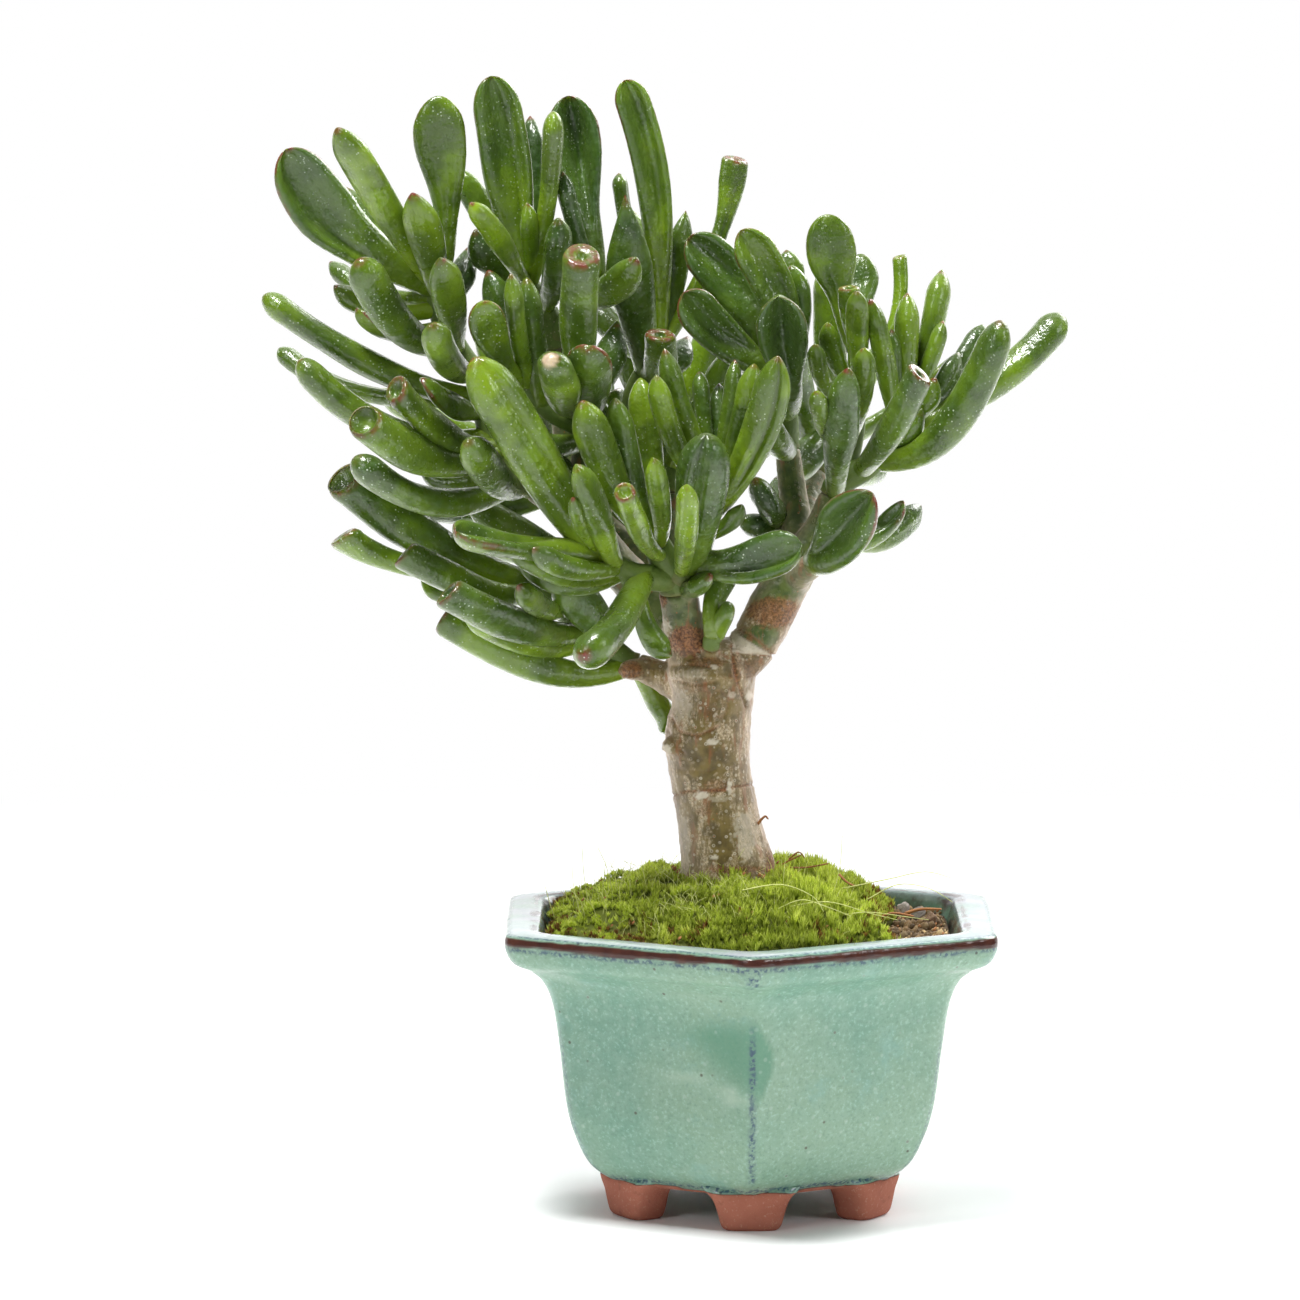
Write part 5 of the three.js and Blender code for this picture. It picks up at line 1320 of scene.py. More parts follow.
for stem, rule in PAIRS.items():
    shoot = shoots_of[stem][0]
    line = smooth_line(shoot)
    draw = seeded(31 + 7 * len(stem))
    for pair in range(rule["pairs"]):
        height = (pair + 0.5) / rule["pairs"]
        root, heading, _ = line(0.9 + height * (len(shoot) - 1.95))
        across = unit(np.cross(DEPTH_WAY, heading))
        over = np.cross(heading, across)
        for side in (0, math.pi):
            turn = rule["start"] + pair * math.pi / 2 + side + 0.5 * (next(draw) - 0.5)
            tilt = math.radians(PAIR_LEAF["low_tilt"]
                                + (PAIR_LEAF["high_tilt"] - PAIR_LEAF["low_tilt"]) * height
                                + 14 * (next(draw) - 0.5))
            length = PAIR_LEAF["length"] * (0.85 + 0.3 * next(draw))
            width = PAIR_LEAF["width"] * (0.85 + 0.3 * next(draw))
            out = across * math.cos(turn) + over * math.sin(turn)
            way = out * math.cos(tilt) + heading * math.sin(tilt)
            way[2] = max(way[2], -0.1)
            tip = root + way * length
            form = PAIR_FORMS[int(next(draw) * len(PAIR_FORMS))]
            grow_leaf(stem, root, tip, root + way * 4, width, form,
                      face_way(root, heading, tip), 0.25 + 0.5 * height)

# The leaves bend clear of each other: each one is felt as a row of balls, wood and
# shoots as balls that stay put. Leaves that press swing apart about their roots, more
# in depth than across.
BALLS = 11
CLEAR_OTHER = 1
CLEAR_SAME = -1.6
ROUNDS = 220
ROOT_ZONE = 10
DRAWING_HOLD = 0.35
MOST_SWING = np.array((6, 34, 6))

form_of = {key: np.array([FORMS[leaf["form"]][key] for leaf in leaves])[:, None]
           for key in ("neck", "handle", "full", "thick")}
root_of = np.array([leaf["root"] for leaf in leaves])
bend_of = np.array([leaf["bend"] for leaf in leaves])
tip_of = np.array([leaf["tip"] for leaf in leaves])
way_of = np.array([leaf["way"] for leaf in leaves])
width_of = np.array([leaf["width"] for leaf in leaves])[:, None]
stem_of = np.array([list(LEAFY).index(leaf["stem"]) for leaf in leaves])

part = 0.14 + 0.82 * np.arange(BALLS) / (BALLS - 1)
opened = smooth_step((part - form_of["handle"]) / (form_of["full"] - form_of["handle"]))
half_wide = width_of / 2 * (form_of["neck"] + (1 - form_of["neck"]) * opened)
half_deep = half_wide * (1 - (1 - form_of["thick"]) * opened)
ball_part = np.repeat(part, 2)
ball_radius = np.repeat(half_deep, 2, axis=1)
tip_share = ball_part ** 2
bend_share = 2 * ball_part * (1 - ball_part)
grip = np.maximum(tip_share ** 2 + bend_share ** 2, 0.2)
tip_pull = tip_share / grip
bend_pull = bend_share / grip
near_root = ball_part < 0.5

fixed = []
for stem, line_knots in [(-1, knots_of(rows)) for rows in WOOD.values()] + [
        (i, knots) for i, shoots in enumerate(shoots_of.values()) for knots in shoots]:
    line = smooth_line(line_knots)
    for step in range((len(line_knots) - 1) * 4 + 1):
        spot, _, radius = line(step / 4)
        fixed.append((stem, spot, radius))
fixed_stem = np.array([ball[0] for ball in fixed])
fixed_at = np.array([ball[1] for ball in fixed])
fixed_radius = np.array([ball[2] for ball in fixed])
presses = fixed_stem[None] != stem_of[:, None]
presses &= np.linalg.norm(fixed_at[None] - root_of[:, None], axis=2) >= ROOT_ZONE


def between(first, second):
    """Squared distances between two batches of balls."""
    square = (first ** 2).sum(-1)[:, :, None] + (second ** 2).sum(-1)[:, None, :]
    return np.maximum(square - 2 * first @ second.transpose(0, 2, 1), 0)


bend_start, tip_start = bend_of.copy(), tip_of.copy()
for turn in range(ROUNDS):
    side = np.array((DRAWING_HOLD, 1, DRAWING_HOLD)) if turn < ROUNDS / 2 else np.ones(3)
    s = part[None, :, None]
    middle = root_of[:, None] * (1 - s) ** 2 + bend_of[:, None] * 2 * s * (1 - s) + tip_of[:, None] * s * s
    heading = (bend_of - root_of)[:, None] * (1 - s) + (tip_of - bend_of)[:, None] * s
    across = np.cross(heading, way_of[:, None])
    across /= np.linalg.norm(across, axis=2, keepdims=True)
    shift = across * np.maximum(half_wide - half_deep, 0)[:, :, None]
    balls = np.stack((middle - shift, middle + shift), axis=2).reshape(len(leaves), -1, 3)
    room = ball_radius.max(1)[:, None] + 1
    low, high = balls.min(1) - room, balls.max(1) + room
    meet = np.all((low[:, None] <= high[None]) & (low[None] <= high[:, None]), axis=2)
    first, second = np.nonzero(np.triu(meet, 1))
    apart = np.sqrt(between(balls[first], balls[second])) + 1e-9
    together = (stem_of[first] == stem_of[second])[:, None, None]
    want = ball_radius[first][:, :, None] + ball_radius[second][:, None, :]
    want = want + np.where(together, CLEAR_SAME, CLEAR_OTHER)
    pressed = (apart < want) & ~(together & (near_root[:, None] | near_root[None, :]))
    push = np.where(pressed, 0.5 * (want - apart) / apart, 0)
    on_first = balls[first] * push.sum(2)[:, :, None] - push @ balls[second]
    on_second = balls[second] * push.sum(1)[:, :, None] - push.transpose(0, 2, 1) @ balls[first]
    force = np.zeros_like(balls)
    count = np.zeros(len(leaves))
    np.add.at(force, first, on_first * side)
    np.add.at(force, second, on_second * side)
    np.add.at(count, first, pressed.sum((1, 2)))
    np.add.at(count, second, pressed.sum((1, 2)))
    nearest = np.clip(fixed_at[None], low[:, None], high[:, None])
    close = presses & (np.linalg.norm(nearest - fixed_at[None], axis=2) <= fixed_radius[None])
    leaf, ball = np.nonzero(close)
    apart = np.sqrt(between(balls[leaf], fixed_at[ball][:, None]))[:, :, 0] + 1e-9
    want = ball_radius[leaf] + fixed_radius[ball][:, None] + CLEAR_OTHER
    push = np.where(apart < want, (want - apart) / apart, 0)
    np.add.at(force, leaf, (balls[leaf] - fixed_at[ball][:, None]) * push[:, :, None])
    np.add.at(count, leaf, (push > 0).sum(1))
    count = np.maximum(count, 1)[:, None]
    tip_of += np.einsum("lbk,b->lk", force, tip_pull) / count
    bend_of += np.einsum("lbk,b->lk", force, bend_pull) / count
    tip_of = np.clip(tip_of, tip_start - MOST_SWING, tip_start + MOST_SWING)
    bend_of = np.clip(bend_of, bend_start - MOST_SWING, bend_start + MOST_SWING)

for leaf, bend, tip in zip(leaves, bend_of, tip_of):
    leaf["bend"] = bend
    leaf["tip"] = tip

LEAF_SIDES = 30
LEAF_STATIONS = 16
END_STATIONS = 8
CUP_SLANT = 0.4
# The end of a tube leaf: a rounded shoulder, then the lip and, past its crest, a dished
# hollow whose size differs. Each is [size, way back down the leaf, share of red].
CUP_LIP = (
    (1.02, 0.1, 0), (1.0, 0.03, 0.2), (0.95, -0.035, 0.7), (0.87, -0.08, 1), (0.77, -0.1, 0.9),
    (0.68, -0.09, 0.6), (0.6, -0.05, 0.25), (0.53, 0.01, 0), (0.43, 0.08, 0), (0.3, 0.13, 0),
    (0.14, 0.15, 0),
)
LIP_CREST = 0.77
CUPPED = {"spoon": 0.22, "ladle": 0.75, "paddle": 0.1}
# How wide the hollow at the end of a tube leaf opens, by its tip on the front sheet:
# 0 for an end that has closed.
OPENINGS = {
    (-124, 234.5): 0, (79.5, 229.5): 0, (-49, 219): 0, (-50, 281): 0, (-43, 244): 0.45,
    (-98, 202): 1.25, (-103, 187): 1.3, (-103.5, 172.5): 0.4, (43, 214): 0.5, (37.8, 244): 0.5,
    (25, 236): 0.7, (-4, 268.5): 0.15, (-11, 199): 0, (-23, 224): 0.6, (-32, 184): 0.85, (-77.5, 151.5): 0.3,
}
LEAF_SCARS = ((on_sheet(-51.6, 218.4, -39.5), 2.6),)
# Leaves folded along a crease: the leaf's tip on the front sheet, the crease's place
# across the face from -1 to 1, and its depth in parts of the leaf's thickness.
FOLDS = {
    (-118, 271.5): (-0.42, 0.9), (-66, 290): (0.46, 1.1), (-32, 289): (0.3, 0.8), (-46.5, 285): (0.2, 0.8),
    (-73, 217): (0.3, 0.25), (-75, 174): (0.1, 0.8), (13, 171): (0.35, 0.9), (31, 184): (-0.2, 0.9),
    (-2.5, 251): (0.5, 0.6), (-16, 249): (0.3, 0.5), (-17, 235): (0.4, 0.6), (7, 219): (0.35, 0.7),
    (19.3, 255): (-0.5, 0.3), (49, 241): (0.5, 0.6), (-45, 183): (0.2, 0.5), (-43, 142): (-0.3, 0.3),
    (-11, 199): (-0.25, 0.5),
}
SHOOT_SIDES = 16


def leaf_frame(leaf, s):
    root, bend, tip = leaf["root"], leaf["bend"], leaf["tip"]
    spot = root * (1 - s) ** 2 + bend * 2 * s * (1 - s) + tip * s * s
    heading = unit((bend - root) * (1 - s) + (tip - bend) * s)
    across = unit(np.cross(heading, leaf["way"]))
    return spot, heading, across, np.cross(across, heading)


def leaf_girth(leaf, s):
    form = FORMS[leaf["form"]]
    open_part = smooth_step((s - form["handle"]) / (form["full"] - form["handle"]))
    wide = leaf["width"] / 2 * (form["neck"] + (1 - form["neck"]) * open_part)
    return wide, wide * (1 - (1 - form["thick"]) * open_part)


def leaf_ring(leaf, s, shrink, slant=0.0, back=0.0, marks=(0, 0)):
    """One cross-section and its masks. Back moves it down the leaf from its place."""
    spot, heading, across, over = leaf_frame(leaf, s)
    wide, deep = leaf_girth(leaf, s)
    form = FORMS[leaf["form"]]
    twist = leaf["twist"] * (s - 0.6)
    across, over = (across * math.cos(twist) + over * math.sin(twist),
                    over * math.cos(twist) - across * math.sin(twist))
    lobe = math.exp(-((s - leaf["lobe_at"]) / 0.17) ** 2)
    wide *= 1 + leaf["lobe"] * lobe
    deep *= 1 - 0.6 * leaf["lobe"] * lobe + 0.05 * math.sin(leaf["phase"] + 9 * s)
    aside = leaf["sway"] * math.sin(2 * math.pi * s) + 0.5 * leaf["lobe"] * lobe * leaf["one_side"] * wide
    spot = spot + across * aside
    a = 2 * math.pi * np.arange(LEAF_SIDES) / LEAF_SIDES
    hollow = form["hollow"] * deep * smooth_step((s - 0.25) / 0.45)
    dip = np.where(np.sin(a) > 0, hollow * np.exp(-(np.cos(a) / 0.5) ** 2), 0)
    groove = leaf["groove"] * deep * smooth_step((s - 0.15) / 0.3) * smooth_step((1.02 - s) / 0.15)
    dip = dip + np.where(np.sin(a) > 0, groove * np.exp(-((np.cos(a) - 0.15) / 0.28) ** 2), 0)
    fold_at, fold_depth = leaf["fold"]
    fold = fold_depth * deep * smooth_step((s - 0.2) / 0.35)
    dip = dip + np.where(np.sin(a) > 0, fold * np.exp(-((np.cos(a) - fold_at) / 0.18) ** 2), 0)
    # blades are cupped: their middle lies further back than their rims
    cupped = CUPPED.get(leaf["form"], 0) * wide * smooth_step((s - 0.4) / 0.35)
    lift = (deep * np.sin(a) - dip - cupped * (np.exp(-(np.cos(a) / 0.62) ** 2) - 0.35)) * shrink
    ring = (spot - heading * back + across * (wide * shrink * np.cos(a))[:, None]
            + over * lift[:, None] - heading * (slant * lift)[:, None])
    edge = np.exp(-((np.abs(np.cos(a)) - 0.985) / 0.035) ** 2) * (np.sin(a) > -0.3)
    blade = form["hollow"] > 0 or leaf["form"] == "paddle"
    rim = np.clip(marks[0] + blade * edge * smooth_step((s - 0.6) / 0.3) * max(leaf["red"], 0.35), 0, 1)
    # face marks the hollow side of a dished leaf, whose colour is darkened there as painted shade
    face = np.where(np.sin(a) > 0.1, marks[1] + (hollow > 0) * smooth_step((s - 0.4) / 0.3), 0)
    masks = np.stack((np.full(LEAF_SIDES, leaf["tone"]), np.full(LEAF_SIDES, s),
                      rim, np.clip(face, 0, 1)), axis=1)
    return ring, masks


def leaf_rings(leaf):
    """The rings from the root to the end, and the middle point that closes them."""
    form = leaf["form"]
    if form in ("cup", "trumpet") and leaf["open"] > 0:
        rings = [leaf_ring(leaf, s, 1, CUP_SLANT * s ** 3) for s in np.linspace(0, 0.93, LEAF_STATIONS)]
        width = leaf["width"]
        for shrink, back, rim in CUP_LIP:
            if shrink < LIP_CREST:
                shrink *= leaf["open"]
                back *= leaf["open"]
            red = rim * (0.6 + 0.4 * leaf["red"])
            # inside the lip the face mark darkens the cut end's hollow: painted shade
            rings.append(leaf_ring(leaf, 1, shrink, CUP_SLANT, back * width, (red, 0.5 * (rim < 0.9))))
        spot, heading, _, _ = leaf_frame(leaf, 1)
        return rings, spot - heading * 0.16 * width * leaf["open"]
    length = np.linalg.norm(leaf["bend"] - leaf["root"]) + np.linalg.norm(leaf["tip"] - leaf["bend"])
    peak = leaf["peak"]
    end = 1 - leaf["width"] * (max(FORMS[form]["end"], 0.5) + 0.6 * peak) / length
    rings = [leaf_ring(leaf, s, 1) for s in np.linspace(0, end, LEAF_STATIONS)]
    for step in range(1, END_STATIONS + 1):
        q = math.sin(math.radians(86 * step / END_STATIONS))
        shrink = 1 - q ** 1.6 if form == "point" else math.sqrt(1 - q * q)
        shrink = shrink * (1 - peak) + (1 - q ** 2.1) * peak
        blush = max(leaf["red"], 0.9 * peak) * smooth_step((q - 0.86 + 0.1 * peak) / 0.12)
        rings.append(leaf_ring(leaf, end + (1 - end) * q, shrink, marks=(blush, 0)))
    return rings, leaf["tip"]


def pores_group():
    """Pale dots where the skin's water pores are: their mask and their height."""
    tree, given = start_group("water_pores", Place="Vector")
    cells = add_node(tree, "ShaderNodeTexVoronoi", {"Vector": given["Place"], "Scale": 980.0,
                                                    "Randomness": 0.9})
    dot = ramp(tree, cells.outputs["Distance"], 0.12, 0.27, 1, 0)
    which = add_node(tree, "ShaderNodeSeparateColor", {"Color": cells.outputs["Color"]})
    chosen = ramp(tree, which.outputs[0], 0.2, 0.6)
    patch = ramp(tree, noise_value(tree, given["Place"], 70.0), 0.4, 0.62)
    mask = times(tree, times(tree, dot, chosen), patch)
    return end_group(tree, "Mask", "Float", mask)


PORES = pores_group()


# Jade leaves are wet inside and waxy outside: dark when old, yellow-green and lit
# through when young, dotted with pale water pores, red-brown at tips and rims.
def leaf_material():
    material, tree = new_material("jade_leaf")
    place = place_in(tree)
    tone, along, rim, face = masks_of(tree, "leaf")
    old = grain(tree, place, 140.0, (0.011, 0.038, 0.005), (0.048, 0.112, 0.008))
    young = grain(tree, place, 110.0, (0.14, 0.265, 0.005), (0.30, 0.44, 0.012))
    colour = mix_colour(tree, tone, old, young)
    blush = times(tree, patches(tree, place, (60.0, 2), 0.5, 0.7), 0.4)
    colour = mix_colour(tree, blush, colour, (0.19, 0.32, 0.012))
    # painted shade: dark patches at random over the crown stand in for its shadows
    shade = patches(tree, place, (75.0, 2), 0.62, 0.4, 0, 0.6)
    colour = mix_colour(tree, shade, colour, (0.008, 0.034, 0.004))
    heel = times(tree, ramp(tree, along, 0.55, 0.0, 0, 1), calc(tree, "MULTIPLY_ADD", tone, 0.6, 0.2))
    colour = mix_colour(tree, heel, colour, (0.26, 0.38, 0.015))
    bloom = times(tree, patches(tree, place, (420.0, 4), 0.45, 0.75),
                 ramp(tree, tone, 0.6, 0.1, 0.06, 0.24))
    colour = mix_colour(tree, bloom, colour, (0.21, 0.34, 0.17))
    # painted shade: darker inside the hollows of spoons, ladles and cut ends
    colour = mix_colour(tree, times(tree, face, 0.4), colour, (0.05, 0.12, 0.012))
    # painted rim light: lighter yellow-green where the skin turns away from the eye
    edge = add_node(tree, "ShaderNodeLayerWeight", {"Blend": 0.2}).outputs["Facing"]
    colour = mix_colour(tree, times(tree, edge, 0.3), colour, (0.32, 0.40, 0.12))
    ragged = patches(tree, place, (420.0, 3), 0.35, 0.6, 0.1, 1)
    red = times(tree, rim, ragged)
    colour = mix_colour(tree, red, colour, (0.17, 0.03, 0.018))
    pores = add_node(tree, "ShaderNodeGroup", {"Place": place}, node_tree=PORES)
    scar = masks_of(tree, "scar")[0]
    dots = times(tree, pores.outputs["Mask"], ramp(tree, along, 0.15, 0.6, 0.2, 0.9))
    colour = mix_colour(tree, dots, colour, (0.62, 0.72, 0.55))
    cork = grain(tree, place, 900.0, (0.42, 0.30, 0.17), (0.72, 0.60, 0.42), 4)
    colour = mix_colour(tree, scar, colour, cork)
    roughness = patches(tree, place, (260.0,), 0.3, 0.7, 0.24, 0.42)
    skin = noise_value(tree, place, 900.0, 4)
    dents = noise_value(tree, place, 170.0, 3)
    height = calc(tree, "ADD", times(tree, skin, 0.32), times(tree, dents, 0.9))
    height = calc(tree, "ADD", height, times(tree, pores.outputs["Mask"], 0.08))
    height = calc(tree, "ADD", height, times(tree, noise_value(tree, place, 430.0, 2), 0.55))
    bump = bumps(tree, height, 0.7, 0.0007)
    shader = add_node(tree, "ShaderNodeBsdfPrincipled", {
        "Base Color": colour, "Roughness": roughness, "Normal": bump, "IOR": 1.42,
        "Subsurface Weight": calc(tree, "MULTIPLY_ADD", tone, 0.2, 0.05),
        "Subsurface Radius": (1.0, 1.4, 0.2), "Subsurface Scale": 0.0018,
        "Coat Weight": 0.65, "Coat Roughness": 0.06, "Coat Normal": bump,
    })
    return finished(material, shader)


def shoot_material():
    material, tree = new_material("green_shoot")
    place = place_in(tree)
    rings, along, _, _ = masks_of(tree, "leaf")
    colour = grain(tree, place, 300.0, (0.07, 0.13, 0.018), (0.16, 0.22, 0.04))
    bark = grain(tree, place, 500.0, (0.14, 0.12, 0.04), (0.26, 0.23, 0.10))
    colour = mix_colour(tree, ramp(tree, along, 0.2, 0.0, 0, 0.6), colour, bark)
    colour = mix_colour(tree, rings, colour, (0.16, 0.08, 0.035))
    pores = add_node(tree, "ShaderNodeGroup", {"Place": place}, node_tree=PORES)
    colour = mix_colour(tree, times(tree, pores.outputs["Mask"], 0.5), colour, (0.55, 0.5, 0.38))
    bump = bumps(tree, noise_value(tree, place, 700.0, 5), 0.5, 0.0005)
    shader = add_node(tree, "ShaderNodeBsdfPrincipled", {
        "Base Color": colour, "Roughness": 0.55, "Normal": bump})
    return finished(material, shader)


def leafy_stem(stem, leaf_look, shoot_look):
    points, faces, masks = [], [], []
    for shoot in shoots_of[stem]:
        count = len(shoot) - 1
        node = lambda along: 1 + 0.07 * math.exp(-((along * 2 % 1 - 0.5) / 0.12) ** 2)
        rings, (end, heading, radius) = tube_rings(shoot, 6, SHOOT_SIDES, node)
        marked = []
        for ring, along in rings:
            scar = 0.8 * math.exp(-((along * 2 % 1 - 0.5) / 0.07) ** 2)
            marked.append((ring, np.tile((scar, along / count, 0, 0), (SHOOT_SIDES, 1))))
        tip = end + heading * radius * 0.8
        marked.append(((marked[-1][0] - end) * 0.6 + end + heading * radius * 0.6, marked[-1][1]))
        add_skin(points, faces, masks, marked, tip)
    wood_faces = len(faces)
    for leaf in leaves:
        if leaf["stem"] == stem:
            rings, last = leaf_rings(leaf)
            add_skin(points, faces, masks, rings, last)
    piece = add_mesh(f"leaves_{stem}", points, faces, "leaf")
    paint(piece, "leaf", masks)
    away = np.full(len(points), 9.0)
    for spot, size in LEAF_SCARS:
        away = np.minimum(away, np.linalg.norm(np.array(points) - spot, axis=1) / size)
    paint(piece, "scar", np.tile(smooth_step((1.15 - away) / 0.3)[:, None], (1, 4)))
    piece.data.materials.append(leaf_look)
    piece.data.materials.append(shoot_look)
    slots = np.zeros(len(piece.data.polygons), np.int32)
    slots[:wood_faces] = 1
    piece.data.polygons.foreach_set("material_index", slots)
    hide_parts(f"leafy_stem_{stem}")


chance = random.Random(12)
for leaf in leaves:
    leaf["phase"] = chance.uniform(0, 6.28)
    leaf["red"] = min(1, max(0, chance.uniform(-0.4, 1.5)))
    leaf["twist"] = chance.uniform(-0.6, 0.6)
    leaf["sway"] = chance.uniform(-0.5, 0.5)
    leaf["lobe"] = max(0, chance.uniform(-0.08, 0.2))
    leaf["lobe_at"] = chance.uniform(0.6, 0.85)
    leaf["one_side"] = chance.choice((-1, 0, 1))
    leaf["groove"] = max(0, chance.uniform(-0.15, 0.32)) if FORMS[leaf["form"]]["hollow"] == 0 else 0
    leaf["open"] = OPENINGS.get(leaf.get("drawn"), chance.uniform(0.4, 1.0))
    slim = leaf["form"] == "finger" and leaf["width"] < 9.5
    leaf["peak"] = chance.uniform(0.45, 0.9) if slim else chance.uniform(0, 0.25)
    leaf["fold"] = FOLDS.get(leaf.get("drawn"), (0, 0))
    leaf["tone"] = min(max(leaf["tone"] + chance.uniform(-0.08, 0.08), 0), 1)

leaf_look = leaf_material()
shoot_look = shoot_material()
for stem in LEAFY:
    leafy_stem(stem, leaf_look, shoot_look)


# ---------------- moss
# A cushion of living moss over the soil: a dense low mound whose every stem carries
# small pointed leaves, yellow-green where it is young and brown where it is dry.

MOSS_DEPTH = 1.1                  # the mound's own skin lies this far below the tips
TUFTS = 8200
TUFT_LEAVES = 11
MOSS_RINGS = (0.12, 0.24, 0.36, 0.48, 0.58, 0.68, 0.77, 0.85, 0.92, 0.97, 1)
TRUNK_FOOT_X = -5.6
TRUNK_ROOM = 10.8                 # no tuft stands nearer to the middle of the trunk's foot
NEW_CUSHION = 0.28                # the share of stems that start a new cushion


def moss_tone(x, y, part):
    """How bright, how brown and how long the moss grows at a place."""
    patch = noise.noise(Vector((x, y, 2)) * 0.11)
    small = noise.noise(Vector((x, y, 7)) * 0.4)
    bright = 0.66 + 0.45 * patch + 0.55 * small
    front = min(max((-y - 18) / 24, 0), 1)
    bright -= 0.35 * front * math.exp(-((x - 4) / 22) ** 2)
    bright += 0.25 * math.exp(-((x + 38) / 14) ** 2)
    brown = 1.1 * noise.noise(Vector((x, y, 31)) * 0.2) - 0.38
    brown += 0.75 * max(0, part - 0.8) / 0.2 * (x < -15) + 0.7 * max(0, (x - 27) / 9)
    long = 0.85 + 0.5 * patch + 0.55 * math.exp(-((x - 14) / 13) ** 2) - 0.35 * (x < -28)
    return min(max(bright, 0), 1), min(max(brown, 0), 1), max(long, 0.45)


def moss_material():
    material, tree = new_material("moss_leaves")
    bright, along, brown, vary = masks_of(tree, "moss")
    dark = mix_colour(tree, vary, (0.16, 0.22, 0.014), (0.30, 0.37, 0.03))
    light = mix_colour(tree, vary, (0.56, 0.68, 0.05), (0.80, 0.88, 0.20))
    colour = mix_colour(tree, bright, dark, light)
    dry = mix_colour(tree, vary, (0.13, 0.055, 0.012), (0.36, 0.20, 0.05))
    colour = mix_colour(tree, brown, colour, dry)
    # painted shade: darker towards the foot of each stem and on the bed, deep in the cushion
    colour = mix_colour(tree, ramp(tree, along, 0.7, 0.0, 0, 0.65), colour, (0.08, 0.10, 0.012))
    leaf = add_node(tree, "ShaderNodeBsdfPrincipled", {"Base Color": colour, "Roughness": 0.55})
    glow = add_node(tree, "ShaderNodeBsdfTranslucent", {"Color": colour})
    both = mix_shader(tree, 0.55, leaf, glow)
    return finished(material, both)


